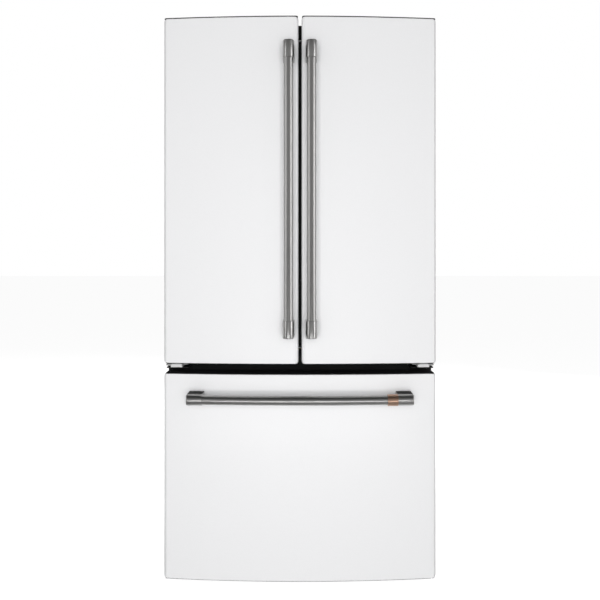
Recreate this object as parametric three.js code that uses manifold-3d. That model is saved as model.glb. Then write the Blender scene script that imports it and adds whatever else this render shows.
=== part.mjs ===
// French door refrigerator with a bottom freezer drawer.
// Millimetres, +Z up. The front faces -Y and +X is to the viewer's right.
// The origin is the centre of the overall box at floor level.

import * as THREE from 'three';
import { mergeVertices } from 'three/addons/utils/BufferGeometryUtils.js';
import Module from 'manifold-3d';

const wasm = await Module();
wasm.setup();

// ---------------------------------------------------------------- driving sizes

const HALF_WIDTH = 416;
const BACK_Y = 402;
const CASE_TOP_Z = 1755;
const OVERALL_TOP_Z = 1775;
const CASE_FRONT_Y = -217;
const GAP = 0.3;
const SHEET = 1.2;
const OVERLAP = 1;
const BEYOND = 10;
const SIDES = [-1, 1];

// Doors and drawer front share one gently bowed front surface.
const DOOR_BACK_Y = -227;
const DOOR_EDGE_Y = -303;
const DOOR_BOW = 25;
const DOOR_APEX_Y = DOOR_EDGE_Y - DOOR_BOW;
const BOW_RADIUS = (HALF_WIDTH ** 2 + DOOR_BOW ** 2) / (2 * DOOR_BOW);
const SKIN_BACK_Y = -241;
const DOOR_INNER_X = 5;
const DOOR_Z = [696, 1751];
const DRAWER_Z = [38, 666];
const LINER_PLATE_Y = [-240.7, DOOR_BACK_Y];
const GASKET_Y = [-226.7, -217.4];
const GASKET_WIDTH = 14;
const SKIN_CORNER = 8;

// Door hinge pins.
const HINGE_X = 392;
const HINGE_Y = -263;
const PIN_RADIUS = 5;
const PIN_HOLE_RADIUS = 5.6;
const LOWER_PIN_TOP_Z = 712;
const UPPER_PIN_BOTTOM_Z = 1725;
const PIN_HOLE_SPARE = 3;

// Handles.
const HANDLE_X = 34;
const HANDLE_Y = -388;
const BAR_RADIUS = 14;
const BRACKET_HALF = 16.75;
const BRACKET_LENGTH = 52;
const HANDLE_Z = [780, 1659];
const DRAWER_HANDLE_Z = 597;
const DRAWER_HANDLE_END_X = 336.6;
const DRAWER_BRACKET_LENGTH = 46;
const NOSE_SET_BACK = 2;
const BAR_SIDES = 10;
const RING_X = [259, 290.3];
const RING_RADIUS = 17.2;

// Compartments: inside faces of the two liners.
const CAVITY_X = 372;
const CAVITY_FRONT_Y = -204.7;
const CAVITY_BACK_Y = 340;
const FRIDGE_Z = [734, 1710];
const FREEZER_Z = [90, 634];
const FREEZER_STEP_Y = 120;
const FREEZER_STEP_Z = 330;
const DRAWER_DIKE = { half: 362, z: [108, 616], depth: 27 };
const DRAWER_DIKE_BACK_Y = DOOR_BACK_Y + DRAWER_DIKE.depth;
const DRAWER_GASKET_Z = [52, 652];
const LINER_WALL = 2.5;
const TRAY_WALL = 3;
const CASE_BOTTOM_Z = 22;
const FOAM_BOTTOM_Z = 42;

// Machine compartment behind the freezer step.
const BAY_FRONT_Y = 163.5;
const BAY_TOP_Z = 281.5;
const TRAY_Z = [38, 41.5];
const CHASSIS_BACK_Y = 398;
const CHASSIS_FRONT_Y = -200;
const CHASSIS_HALF = 413;

const HOOD_SHEET = 2;

const ROUND_STEPS = 24;
const SMALL_STEPS = 16;
const ROD_STEPS = 12;
const CORNER_STEPS = 4;

// ---------------------------------------------------------------- geometry tools

function frontSurfaceY(x) {
  return DOOR_APEX_Y + BOW_RADIUS - Math.sqrt(BOW_RADIUS ** 2 - x ** 2);
}

// Near and far distances from the centre line become an x range on one side.
function span(side, near, far) {
  return side > 0 ? [near, far] : [-far, -near];
}

function centred(half) {
  return [-half, half];
}

function around(centre, half) {
  return [centre - half, centre + half];
}

function box([x0, x1], [y0, y1], [z0, z1]) {
  const geometry = new THREE.BoxGeometry(x1 - x0, y1 - y0, z1 - z0);
  geometry.translate((x0 + x1) / 2, (y0 + y1) / 2, (z0 + z1) / 2);
  return geometry;
}

function outline(points) {
  return new THREE.Shape(points.map(([u, v]) => new THREE.Vector2(u, v)));
}

function rectangle([u0, u1], [v0, v1]) {
  return outline([[u0, v0], [u1, v0], [u1, v1], [u0, v1]]);
}

// A rectangular band of constant width.
function bandShape([u0, u1], [v0, v1], width) {
  const shape = rectangle([u0, u1], [v0, v1]);
  shape.holes.push(rectangle([u0 + width, u1 - width], [v0 + width, v1 - width]));
  return shape;
}

function extrude(shape, depth) {
  return new THREE.ExtrudeGeometry(shape, { depth, bevelEnabled: false, curveSegments: CORNER_STEPS });
}

// Plan outline (x, y) raised between two heights.
function prismZ(shape, [z0, z1]) {
  return extrude(shape, z1 - z0).translate(0, 0, z0);
}

// Front outline (x, z) carried from front to back.
function prismY(shape, [y0, y1]) {
  return extrude(shape, y1 - y0).rotateX(Math.PI / 2).translate(0, y1, 0);
}

// Side outline (y, z) carried across the width.
function prismX(shape, [x0, x1]) {
  const axes = new THREE.Matrix4().makeBasis(
    new THREE.Vector3(0, 1, 0),
    new THREE.Vector3(0, 0, 1),
    new THREE.Vector3(1, 0, 0),
  );
  return extrude(shape, x1 - x0).applyMatrix4(axes).translate(x0, 0, 0);
}

function rodX([x0, x1], y, z, radius, steps = ROUND_STEPS) {
  const geometry = new THREE.CylinderGeometry(radius, radius, x1 - x0, steps);
  return geometry.rotateY(Math.PI / steps).rotateZ(Math.PI / 2).translate((x0 + x1) / 2, y, z);
}

function rodY(x, [y0, y1], z, radius, steps = ROUND_STEPS) {
  const geometry = new THREE.CylinderGeometry(radius, radius, y1 - y0, steps);
  return geometry.translate(x, (y0 + y1) / 2, z);
}

function rodZ(x, y, [z0, z1], radius, steps = ROUND_STEPS) {
  const geometry = new THREE.CylinderGeometry(radius, radius, z1 - z0, steps);
  return geometry.rotateX(Math.PI / 2).translate(x, y, (z0 + z1) / 2);
}

// A round tube with solid ends along a smooth path through the points.
function pipe(points, radius, steps, sides = 8) {
  const path = new THREE.CatmullRomCurve3(points.map((p) => new THREE.Vector3(...p)));
  const section = new THREE.Shape();
  section.absarc(0, 0, radius, 0, 2 * Math.PI);
  return new THREE.ExtrudeGeometry(section, {
    steps,
    extrudePath: path,
    bevelEnabled: false,
    curveSegments: sides,
  });
}

function toManifold(geometry) {
  const bare = geometry.clone();
  bare.deleteAttribute('normal');
  bare.deleteAttribute('uv');
  const merged = mergeVertices(bare);
  return new wasm.Manifold(new wasm.Mesh({
    numProp: 3,
    vertProperties: merged.attributes.position.array,
    triVerts: new Uint32Array(merged.index.array),
  }));
}

function fromManifold(manifold) {
  const mesh = manifold.getMesh();
  const geometry = new THREE.BufferGeometry();
  geometry.setAttribute('position', new THREE.BufferAttribute(mesh.vertProperties, 3));
  geometry.setIndex(new THREE.BufferAttribute(mesh.triVerts, 1));
  geometry.computeVertexNormals();
  return geometry;
}

function join(...pieces) {
  return fromManifold(pieces.map(toManifold).reduce((whole, piece) => whole.add(piece)));
}

function cut(base, ...tools) {
  return fromManifold(tools.map(toManifold).reduce((rest, tool) => rest.subtract(tool), toManifold(base)));
}

// A tray or bin: a block hollowed from the top.
function openTray([x0, x1], [y0, y1], [z0, z1]) {
  const inside = box(
    [x0 + TRAY_WALL, x1 - TRAY_WALL],
    [y0 + TRAY_WALL, y1 - TRAY_WALL],
    [z0 + TRAY_WALL, z1 + OVERLAP],
  );
  return cut(box([x0, x1], [y0, y1], [z0, z1]), inside);
}

function part(name, geometry, material) {
  const mesh = new THREE.Mesh(geometry, material);
  mesh.name = name;
  return mesh;
}

function sideName(side) {
  return side < 0 ? 'left' : 'right';
}

// ---------------------------------------------------------------- materials

function finish(color, roughness, metalness) {
  return new THREE.MeshStandardMaterial({ color, roughness, metalness });
}

const doorWhite = () => finish(0xededee, 0.45, 0);
const caseGrey = () => finish(0x55575a, 0.5, 0.2);
const frameBlack = () => finish(0x1b1b1b, 0.5, 0);
const brushedSteel = () => finish(0x8c8c8a, 0.32, 1);
const brushedCopper = () => finish(0xb07f5f, 0.35, 1);
const zincSteel = () => finish(0x9fa2a4, 0.45, 0.9);
const linerWhite = () => finish(0xf2f3f3, 0.35, 0);
const sealGrey = () => finish(0x8f9193, 0.7, 0);
const clearPlastic = () => finish(0xdfe8ea, 0.12, 0);
const shelfGlass = () => finish(0xcfe0de, 0.08, 0);
const foamYellow = () => finish(0xe3d39a, 0.9, 0);
const blackPlastic = () => finish(0x222222, 0.6, 0);
const wireWhite = () => finish(0xe8e8e6, 0.4, 0.1);
const finAluminium = () => finish(0xb7babb, 0.4, 1);

// ---------------------------------------------------------------- cabinet shell

function outerCase() {
  const side = HALF_WIDTH - SHEET;
  const wrap = outline([
    [-HALF_WIDTH, CASE_BOTTOM_Z], [-side, CASE_BOTTOM_Z], [-side, CASE_TOP_Z - SHEET],
    [side, CASE_TOP_Z - SHEET], [side, CASE_BOTTOM_Z], [HALF_WIDTH, CASE_BOTTOM_Z],
    [HALF_WIDTH, CASE_TOP_Z], [-HALF_WIDTH, CASE_TOP_Z],
  ]);
  return part('outer_case', prismY(wrap, [CAVITY_FRONT_Y, BACK_Y]), caseGrey());
}

const PANEL_Y = [BACK_Y - GAP - SHEET, BACK_Y - GAP];

function backPanel() {
  const inside = HALF_WIDTH - SHEET - GAP;
  const plate = box(centred(inside), PANEL_Y, [BAY_TOP_Z + 3, CASE_TOP_Z - SHEET - GAP]);
  return part('back_panel', plate, caseGrey());
}

// Side outline of the freezer space, grown by the given margin.
function freezerProfile(margin, frontY) {
  return outline([
    [frontY, FREEZER_Z[0] - margin],
    [FREEZER_STEP_Y + margin, FREEZER_Z[0] - margin],
    [FREEZER_STEP_Y + margin, FREEZER_STEP_Z - margin],
    [CAVITY_BACK_Y + margin, FREEZER_STEP_Z - margin],
    [CAVITY_BACK_Y + margin, FREEZER_Z[1] + margin],
    [frontY, FREEZER_Z[1] + margin],
  ]);
}

function fridgeBlock(margin, frontY) {
  return box(
    centred(CAVITY_X + margin),
    [frontY, CAVITY_BACK_Y + margin],
    [FRIDGE_Z[0] - margin, FRIDGE_Z[1] + margin],
  );
}

function insulationFoam() {
  const half = HALF_WIDTH - SHEET - GAP;
  const clearance = LINER_WALL + GAP;
  const beyond = CAVITY_FRONT_Y - BEYOND;
  const foamY = [CAVITY_FRONT_Y, PANEL_Y[0] - GAP];
  const whole = box(centred(half), foamY, [FOAM_BOTTOM_Z, CASE_TOP_Z - SHEET - GAP]);
  const hoodSpace = HOOD_SHEET + GAP;
  const bay = box(
    centred(HALF_WIDTH),
    [BAY_FRONT_Y - hoodSpace, BACK_Y],
    [FOAM_BOTTOM_Z - BEYOND, BAY_TOP_Z + hoodSpace],
  );
  const foam = cut(
    whole,
    fridgeBlock(clearance, beyond),
    prismX(freezerProfile(clearance, beyond), centred(CAVITY_X + clearance)),
    bay,
  );
  return part('insulation_foam', foam, foamYellow());
}

function frontFrame() {
  const face = rectangle(centred(HALF_WIDTH), [FOAM_BOTTOM_Z, CASE_TOP_Z]);
  const sill = 4;
  const lintel = 2;
  face.holes.push(rectangle(centred(CAVITY_X), [FRIDGE_Z[0] - sill, FRIDGE_Z[1] + lintel]));
  face.holes.push(rectangle(centred(CAVITY_X), FREEZER_Z));
  return part('front_frame', prismY(face, [CASE_FRONT_Y, CAVITY_FRONT_Y - GAP]), frameBlack());
}

// Ledges moulded on both side walls, under each shelf.
const SHELF_BOTTOM_Z = { cover: 915, full: 1130, left: 1345, right: 1440 };
const SHELF_Y = [-90, 300];
const LEDGE = { depth: 6, height: 8, setBack: 10 };
const CRISPER_Z = [742, 905];
const RUNNER = { x: [70, 290], width: 8, y: [-190, 290] };
const DUCT = { half: 70, frontY: 318, z: [760, 1690] };

function sideLedges() {
  const heights = {
    '-1': [SHELF_BOTTOM_Z.cover, SHELF_BOTTOM_Z.full, SHELF_BOTTOM_Z.left],
    '1': [SHELF_BOTTOM_Z.cover, SHELF_BOTTOM_Z.full, SHELF_BOTTOM_Z.right],
  };
  return SIDES.flatMap((side) => heights[side].map((z) => box(
    span(side, CAVITY_X - LEDGE.depth, CAVITY_X + OVERLAP),
    [SHELF_Y[0] + LEDGE.setBack, SHELF_Y[1]],
    [z - LEDGE.height, z - GAP],
  )));
}

function crisperRunners() {
  return SIDES.flatMap((side) => RUNNER.x.map((near) => box(
    span(side, near, near + RUNNER.width),
    RUNNER.y,
    [FRIDGE_Z[0] - OVERLAP, CRISPER_Z[0] - GAP],
  )));
}

function fridgeLiner() {
  const shell = cut(fridgeBlock(LINER_WALL, CAVITY_FRONT_Y), fridgeBlock(0, CAVITY_FRONT_Y - BEYOND));
  const duct = box(centred(DUCT.half), [DUCT.frontY, CAVITY_BACK_Y + OVERLAP], DUCT.z);
  const liner = join(shell, duct, ...sideLedges(), ...crisperRunners());
  return part('fridge_liner', liner, linerWhite());
}

function freezerLiner() {
  const outside = prismX(freezerProfile(LINER_WALL, CAVITY_FRONT_Y), centred(CAVITY_X + LINER_WALL));
  const inside = prismX(freezerProfile(0, CAVITY_FRONT_Y - BEYOND), centred(CAVITY_X));
  return part('freezer_liner', cut(outside, inside), linerWhite());
}

// ---------------------------------------------------------------- base

const LEG = { x: 370, y: -170, top: 36, radius: 5, footRadius: 18, footHeight: 6 };
const LEG_SOCKET = { half: 15, clearance: 0.5 };
const ROLLER = { x: [373, 394], y: 340, radius: 25, axleRadius: 4, axleOverhang: 10 };
const AXLE_BEARING = { x: [365, 369], half: 15, bottomZ: 12, clearance: 0.7 };
const WHEEL_WELL = { x: [371, 395.4], half: 30 };
const RAIL_X = [395.5, 412];
const RAIL_BOTTOM_Z = 14;
const CROSS_MEMBER = { half: 400, depth: 4 };
const FAN = { y: 290, z: 130, radius: 65, hubRadius: 20, hubX: [-30, -6], boreRadius: 3.6 };
const FAN_BORE_X = -23;
const FAN_BLADE = { count: 5, halfWidth: 12, halfThickness: 1.2, x: -18 };
const MOTOR = { x: [5, 45], radius: 22, bracketX: [20, 30], bracketHalf: 15, shaftRadius: 3 };
const GRILLE = { half: 400, y: [-216, -208], z: [8, 37.5] };
const GRILLE_SLOT = { reach: 350, pitch: 50, half: 20, z: [15, 31] };
const GRILLE_CLIP = { x: [371, 379], z: [21, 24] };

function legSocket(side) {
  const { half, clearance } = LEG_SOCKET;
  const height = [RAIL_BOTTOM_Z, TRAY_Z[0] + OVERLAP];
  const socket = box(span(side, ...around(LEG.x, half)), around(LEG.y, half), height);
  const hole = rodZ(side * LEG.x, LEG.y, [RAIL_BOTTOM_Z - OVERLAP, TRAY_Z[0]], LEG.radius + clearance);
  return cut(socket, hole);
}

function sideRail(side) {
  const { x, half, bottomZ, clearance } = AXLE_BEARING;
  const top = TRAY_Z[0] + OVERLAP;
  const rail = box(span(side, ...RAIL_X), [CHASSIS_FRONT_Y, CHASSIS_BACK_Y], [RAIL_BOTTOM_Z, top]);
  const bearing = box(span(side, ...x), around(ROLLER.y, half), [bottomZ, top]);
  const reach = span(side, x[0] - OVERLAP, RAIL_X[1] + OVERLAP);
  const axleHole = rodX(reach, ROLLER.y, ROLLER.radius, ROLLER.axleRadius + clearance, SMALL_STEPS);
  return cut(join(rail, bearing), axleHole);
}

// The sheet that steps up over the machine compartment.
function bayHood() {
  const sheet = outline([
    [BAY_FRONT_Y - HOOD_SHEET, TRAY_Z[1] - OVERLAP], [BAY_FRONT_Y, TRAY_Z[1] - OVERLAP],
    [BAY_FRONT_Y, BAY_TOP_Z], [CHASSIS_BACK_Y, BAY_TOP_Z],
    [CHASSIS_BACK_Y, BAY_TOP_Z + HOOD_SHEET], [BAY_FRONT_Y - HOOD_SHEET, BAY_TOP_Z + HOOD_SHEET],
  ]);
  return prismX(sheet, centred(CHASSIS_HALF));
}

function fanMotor() {
  const bracket = box(MOTOR.bracketX, around(FAN.y, MOTOR.bracketHalf), [TRAY_Z[1] - OVERLAP, FAN.z]);
  const motor = rodX(MOTOR.x, FAN.y, FAN.z, MOTOR.radius, SMALL_STEPS);
  const shaft = rodX([FAN_BORE_X + 3, MOTOR.x[0] + OVERLAP], FAN.y, FAN.z, MOTOR.shaftRadius, ROD_STEPS);
  return join(bracket, motor, shaft);
}

function baseChassis() {
  const rollerWells = SIDES.map((side) => box(
    span(side, ...WHEEL_WELL.x),
    around(ROLLER.y, WHEEL_WELL.half),
    [TRAY_Z[0] - OVERLAP, TRAY_Z[1] + OVERLAP],
  ));
  const tray = cut(
    box(centred(CHASSIS_HALF), [CHASSIS_FRONT_Y, CHASSIS_BACK_Y], TRAY_Z),
    ...rollerWells,
  );
  const crossMember = box(
    centred(CROSS_MEMBER.half),
    [CHASSIS_FRONT_Y, CHASSIS_FRONT_Y + CROSS_MEMBER.depth],
    [RAIL_BOTTOM_Z, TRAY_Z[0] + OVERLAP],
  );
  const chassis = join(
    tray,
    crossMember,
    bayHood(),
    fanMotor(),
    ...SIDES.map(sideRail),
    ...SIDES.map(legSocket),
  );
  return part('base_chassis', chassis, zincSteel());
}

function toeGrille() {
  const face = box(centred(GRILLE.half), GRILLE.y, GRILLE.z);
  const through = [GRILLE.y[0] - OVERLAP, GRILLE.y[1] + OVERLAP];
  const slots = [];
  for (let x = -GRILLE_SLOT.reach; x <= GRILLE_SLOT.reach; x += GRILLE_SLOT.pitch) {
    slots.push(box(around(x, GRILLE_SLOT.half), through, GRILLE_SLOT.z));
  }
  const clipY = [GRILLE.y[1] - OVERLAP, CHASSIS_FRONT_Y - GAP];
  const clips = SIDES.map((side) => box(span(side, ...GRILLE_CLIP.x), clipY, GRILLE_CLIP.z));
  return part('toe_grille', join(cut(face, ...slots), ...clips), blackPlastic());
}

function levelingLeg(side) {
  const stem = rodZ(0, 0, [LEG.footHeight - OVERLAP, LEG.top], LEG.radius, SMALL_STEPS);
  const foot = rodZ(0, 0, [0, LEG.footHeight], LEG.footRadius);
  const leg = part(`leveling_leg_${sideName(side)}`, join(stem, foot), blackPlastic());
  leg.position.set(side * LEG.x, LEG.y, 0);
  return leg;
}

function rearRoller(side) {
  // The tread's flats, not its corners, stand at the full radius.
  const steps = 32;
  const tread = ROLLER.radius / Math.cos(Math.PI / steps);
  const width = ROLLER.x[1] - ROLLER.x[0];
  const wheel = rodX(centred(width / 2), 0, 0, tread, steps);
  const axle = rodX(centred(width / 2 + ROLLER.axleOverhang), 0, 0, ROLLER.axleRadius, ROD_STEPS);
  const roller = part(`rear_roller_${sideName(side)}`, join(wheel, axle), blackPlastic());
  roller.position.set(side * (ROLLER.x[0] + width / 2), ROLLER.y, ROLLER.radius);
  return roller;
}

// ---------------------------------------------------------------- machine compartment

const COMPRESSOR_X = -220;
const CONDENSER = { x: [60, 330], y: [200, 380], z: [42, 170] };
const CONDENSER_FIN = { x: [95, 295], pitch: 40, halfThickness: 1, bottomZ: 60 };
const CONDENSER_TUBE = { y: [225, 350], z: [85, 145], radius: 4, sides: 6 };
const HEADER_THICKNESS = 4;
const VENT = { reach: 340, pitch: 40, half: 6, z: [90, 210] };
const INLET = { x: 300, z: 60, frontY: 390, glandRadius: 9, waterRadius: 12 };

function compressor() {
  const dome = new THREE.LatheGeometry([
    [0, 42], [68, 42], [75, 50], [75, 108], [78, 112], [75, 116], [70, 176], [52, 200], [24, 209], [0, 210],
  ].map(([r, z]) => new THREE.Vector2(r, z)), ROUND_STEPS);
  return dome.rotateX(Math.PI / 2).translate(COMPRESSOR_X, FAN.y, 0);
}

function condenser() {
  const { x: [x0, x1], y, z } = CONDENSER;
  const fins = [];
  for (let x = CONDENSER_FIN.x[0]; x <= CONDENSER_FIN.x[1]; x += CONDENSER_FIN.pitch) {
    fins.push(box(around(x, CONDENSER_FIN.halfThickness), y, [CONDENSER_FIN.bottomZ, z[1]]));
  }
  const { radius, sides } = CONDENSER_TUBE;
  const tubes = CONDENSER_TUBE.z.flatMap((height) => CONDENSER_TUBE.y.map(
    (depth) => rodX([x0, x1], depth, height, radius, sides),
  ));
  const headers = [x0, x1 - HEADER_THICKNESS].map((x) => box([x, x + HEADER_THICKNESS], y, z));
  return join(...headers, ...fins, ...tubes);
}

function compressorAndCondenser() {
  const route = [[-155, 262, 90], [-120, 215, 80], [-20, 195, 70], [40, 210, 80], [62, 225, 85]];
  const discharge = pipe(route, CONDENSER_TUBE.radius, 8, 4);
  return part('compressor_and_condenser', join(compressor(), condenser(), discharge), blackPlastic());
}

function condenserFan() {
  const hub = rodX(FAN.hubX, 0, 0, FAN.hubRadius);
  const bore = rodX([FAN_BORE_X, 0], 0, 0, FAN.boreRadius, ROD_STEPS);
  const blades = [];
  const { count, halfWidth, halfThickness, x } = FAN_BLADE;
  for (let i = 0; i < count; i += 1) {
    const blade = box(centred(halfWidth), centred(halfThickness), [FAN.hubRadius - 4, FAN.radius]);
    blade.rotateZ(Math.PI / 4).translate(x, 0, 0).rotateX((2 * Math.PI * i) / count);
    blades.push(blade);
  }
  const fan = part('condenser_fan', join(cut(hub, bore), ...blades), blackPlastic());
  fan.position.set(0, FAN.y, FAN.z);
  return fan;
}

function machineCover() {
  const y = [CHASSIS_BACK_Y + 0.5, PANEL_Y[1]];
  const face = box(centred(410), y, [26, 283.3]);
  const vents = [];
  for (let x = -VENT.reach; x <= VENT.reach; x += VENT.pitch) {
    vents.push(box(around(x, VENT.half), [y[0] - OVERLAP, y[1] + OVERLAP], VENT.z));
  }
  const depth = [INLET.frontY, BACK_Y - 0.1];
  const cordGland = rodY(-INLET.x, depth, INLET.z, INLET.glandRadius, ROD_STEPS);
  const waterInlet = rodY(INLET.x, depth, INLET.z, INLET.waterRadius, ROD_STEPS);
  const cover = join(cut(face, ...vents), cordGland, waterInlet);
  return part('machine_cover', cover, blackPlastic());
}

// ---------------------------------------------------------------- hinges

const MID_HINGE = { x: [345, 412], flangeY: -221, flangeZ: [668, 694], plateZ: [678, 682], plateReach: 14 };
const HINGE_BLOCK = { x: [362, 398], y: [-290, -240], z: [681, 693.7] };
const COVER = { x: [300, 414], y: [-214, -95], wall: 2.5 };
const ARM_X = [340, 410];
const ARM_TOP_Z = 1759.3;

function midHinge(side) {
  const width = span(side, ...MID_HINGE.x);
  const flange = box(width, [MID_HINGE.flangeY, CASE_FRONT_Y - GAP], MID_HINGE.flangeZ);
  const plate = box(width, [HINGE_Y - MID_HINGE.plateReach, MID_HINGE.flangeY + OVERLAP], MID_HINGE.plateZ);
  const bushing = box(span(side, ...HINGE_BLOCK.x), HINGE_BLOCK.y, HINGE_BLOCK.z);
  const pin = rodZ(side * HINGE_X, HINGE_Y, [MID_HINGE.plateZ[1], LOWER_PIN_TOP_Z], PIN_RADIUS);
  return part(`mid_hinge_${sideName(side)}`, join(flange, plate, bushing, pin), zincSteel());
}

// The arm lies on the cabinet top, then steps down over the door.
function topHinge(side) {
  const foot = CASE_TOP_Z + GAP;
  const arm = outline([
    [-110, foot], [-219, foot], [-222, 1752.4], [-283, 1752.4], [-283, 1755.9],
    [-223.5, 1755.9], [-220.5, ARM_TOP_Z], [-110, ARM_TOP_Z],
  ]);
  const pin = rodZ(side * HINGE_X, HINGE_Y, [UPPER_PIN_BOTTOM_Z, 1753], PIN_RADIUS);
  const hinge = join(prismX(arm, span(side, ...ARM_X)), pin);
  return part(`top_hinge_${sideName(side)}`, hinge, zincSteel());
}

function hingeCover(side) {
  const { x: [near, far], y: [front, back], wall } = COVER;
  const bottom = CASE_TOP_Z + GAP;
  const shell = box(span(side, near, far), [front, back], [bottom, OVERALL_TOP_Z]);
  const inside = box(
    span(side, near + wall, far - wall),
    [front + wall, back - wall],
    [bottom - OVERLAP, OVERALL_TOP_Z - wall],
  );
  const armNotch = box(
    span(side, ARM_X[0] - 1, ARM_X[1] + 3),
    [front - 6, front + 9],
    [bottom - OVERLAP, ARM_TOP_Z + 0.5],
  );
  return part(`hinge_cover_${sideName(side)}`, cut(shell, inside, armNotch), blackPlastic());
}

// ---------------------------------------------------------------- doors

// Plan outline of a door skin: bowed front, rounded front corners, flat back.
function skinOutline(x0, x1, cornerRadius) {
  const arcSteps = 10;
  const shape = new THREE.Shape();
  shape.moveTo(x0, SKIN_BACK_Y);
  shape.lineTo(x0, frontSurfaceY(x0) + cornerRadius);
  shape.quadraticCurveTo(x0, frontSurfaceY(x0), x0 + cornerRadius, frontSurfaceY(x0 + cornerRadius));
  for (let i = 1; i <= arcSteps; i += 1) {
    const x = x0 + cornerRadius + ((x1 - x0 - 2 * cornerRadius) * i) / arcSteps;
    shape.lineTo(x, frontSurfaceY(x));
  }
  shape.quadraticCurveTo(x1, frontSurfaceY(x1), x1, frontSurfaceY(x1) + cornerRadius);
  shape.lineTo(x1, SKIN_BACK_Y);
  return shape;
}

function doorPanel(side) {
  const [x0, x1] = span(side, DOOR_INNER_X, HALF_WIDTH);
  const skin = prismZ(skinOutline(x0, x1, SKIN_CORNER), DOOR_Z);
  const pinX = side * HINGE_X;
  const lower = [DOOR_Z[0] - OVERLAP, LOWER_PIN_TOP_Z + PIN_HOLE_SPARE];
  const upper = [UPPER_PIN_BOTTOM_Z - PIN_HOLE_SPARE, DOOR_Z[1] + OVERLAP];
  const lowerHole = rodZ(pinX, HINGE_Y, lower, PIN_HOLE_RADIUS);
  const upperHole = rodZ(pinX, HINGE_Y, upper, PIN_HOLE_RADIUS);
  return part(`${sideName(side)}_door_panel`, cut(skin, lowerHole, upperHole), doorWhite());
}

// A flat plate with a raised ring, the dike, that enters the compartment.
function linerWithDike(plateX, plateZ, dikeX, dikeZ, dikeDepth) {
  const dikeWall = 10;
  const dikeY = [LINER_PLATE_Y[1] - OVERLAP, LINER_PLATE_Y[1] + dikeDepth];
  return [box(plateX, LINER_PLATE_Y, plateZ), prismY(bandShape(dikeX, dikeZ, dikeWall), dikeY)];
}

const BIN_X = [48, 356];
const BIN_Y = [-224, -112];
const BINS = { upper: [1470, 1580], middle: [1200, 1310], lower: [935, 1055] };
const BIN_LUG = { x: [[45, 54], [350, 359]], backY: -200, height: 12 };
const PLATE_INSET = 2;
const DOOR_DIKE = { x: [36, 368], z: [742, 1700], depth: 30 };
const DOOR_GASKET = { x: [7, 391], z: [710, 1737] };
const MULLION = { x: [-33, -3], backY: -197, z: [736, 1706] };

function doorLiner(side) {
  const pieces = linerWithDike(
    span(side, DOOR_INNER_X + PLATE_INSET, HALF_WIDTH - PLATE_INSET),
    [DOOR_Z[0] + PLATE_INSET, DOOR_Z[1] - PLATE_INSET],
    span(side, ...DOOR_DIKE.x),
    DOOR_DIKE.z,
    DOOR_DIKE.depth,
  );
  const ledges = Object.values(BINS).flatMap(([z]) => BIN_LUG.x.map(([near, far]) => box(
    span(side, near, far),
    [DOOR_BACK_Y - OVERLAP, BIN_LUG.backY],
    [z - BIN_LUG.height, z - GAP],
  )));
  return part(`${sideName(side)}_door_liner`, join(...pieces, ...ledges), linerWhite());
}

function doorGasket(side) {
  const ring = bandShape(span(side, ...DOOR_GASKET.x), DOOR_GASKET.z, GASKET_WIDTH);
  return part(`${sideName(side)}_door_gasket`, prismY(ring, GASKET_Y), sealGrey());
}

function doorBins(side) {
  return Object.entries(BINS).map(([level, z]) => part(
    `${sideName(side)}_bin_${level}`,
    openTray(span(side, ...BIN_X), BIN_Y, z),
    clearPlastic(),
  ));
}

// Bracket plan: flat sides from the door, rounded nose in line with the bar.
function bracketShape(centreX) {
  const shape = new THREE.Shape();
  const back = DOOR_APEX_Y - GAP;
  const noseY = HANDLE_Y + BRACKET_HALF - BAR_RADIUS;
  shape.moveTo(centreX + BRACKET_HALF, back);
  shape.lineTo(centreX - BRACKET_HALF, back);
  shape.absarc(centreX, noseY, BRACKET_HALF, Math.PI, 2 * Math.PI);
  return shape;
}

function doorHandle(side) {
  const x = side * HANDLE_X;
  const [z0, z1] = HANDLE_Z;
  const bar = rodZ(x, HANDLE_Y, [z0 + BRACKET_LENGTH + GAP, z1 - BRACKET_LENGTH - GAP], BAR_RADIUS);
  const name = sideName(side);
  return [
    part(`${name}_handle_bar`, bar, brushedSteel()),
    part(`${name}_handle_bracket_bottom`, prismZ(bracketShape(x), [z0, z0 + BRACKET_LENGTH]), brushedSteel()),
    part(`${name}_handle_bracket_top`, prismZ(bracketShape(x), [z1 - BRACKET_LENGTH, z1]), brushedSteel()),
  ];
}

// The flap that seals the gap between the doors, carried by the left door.
function mullion() {
  return part('mullion', box(MULLION.x, [CASE_FRONT_Y, MULLION.backY], MULLION.z), blackPlastic());
}

function door(side) {
  const group = new THREE.Group();
  group.add(doorPanel(side), doorLiner(side), doorGasket(side), ...doorHandle(side), ...doorBins(side));
  if (side < 0) {
    group.add(mullion());
  }
  return group;
}

// ---------------------------------------------------------------- fridge interior

const SHELF = { half: CAVITY_X - 1, glass: 8, trimDepth: 12, trimHeight: 15, trimLap: 5, centreGap: 3 };
const SHELF_HOOK = { x: [20, 60], depth: 30, drop: 12 };
const COVER_PLATE = { frontY: -80, trimLap: 5, glass: 10, dividerHalf: 2.5, dividerZ: 860 };
const CRISPER = { x: [6, 364], y: [-60, 290] };

function fullShelf() {
  const z = SHELF_BOTTOM_Z.full;
  const [front, back] = SHELF_Y;
  const plate = box(centred(SHELF.half), [front + SHELF.trimLap, back], [z, z + SHELF.glass]);
  const trim = box(centred(SHELF.half), [front, front + SHELF.trimDepth], [z, z + SHELF.trimHeight]);
  return part('shelf_full', join(plate, trim), shelfGlass());
}

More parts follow.
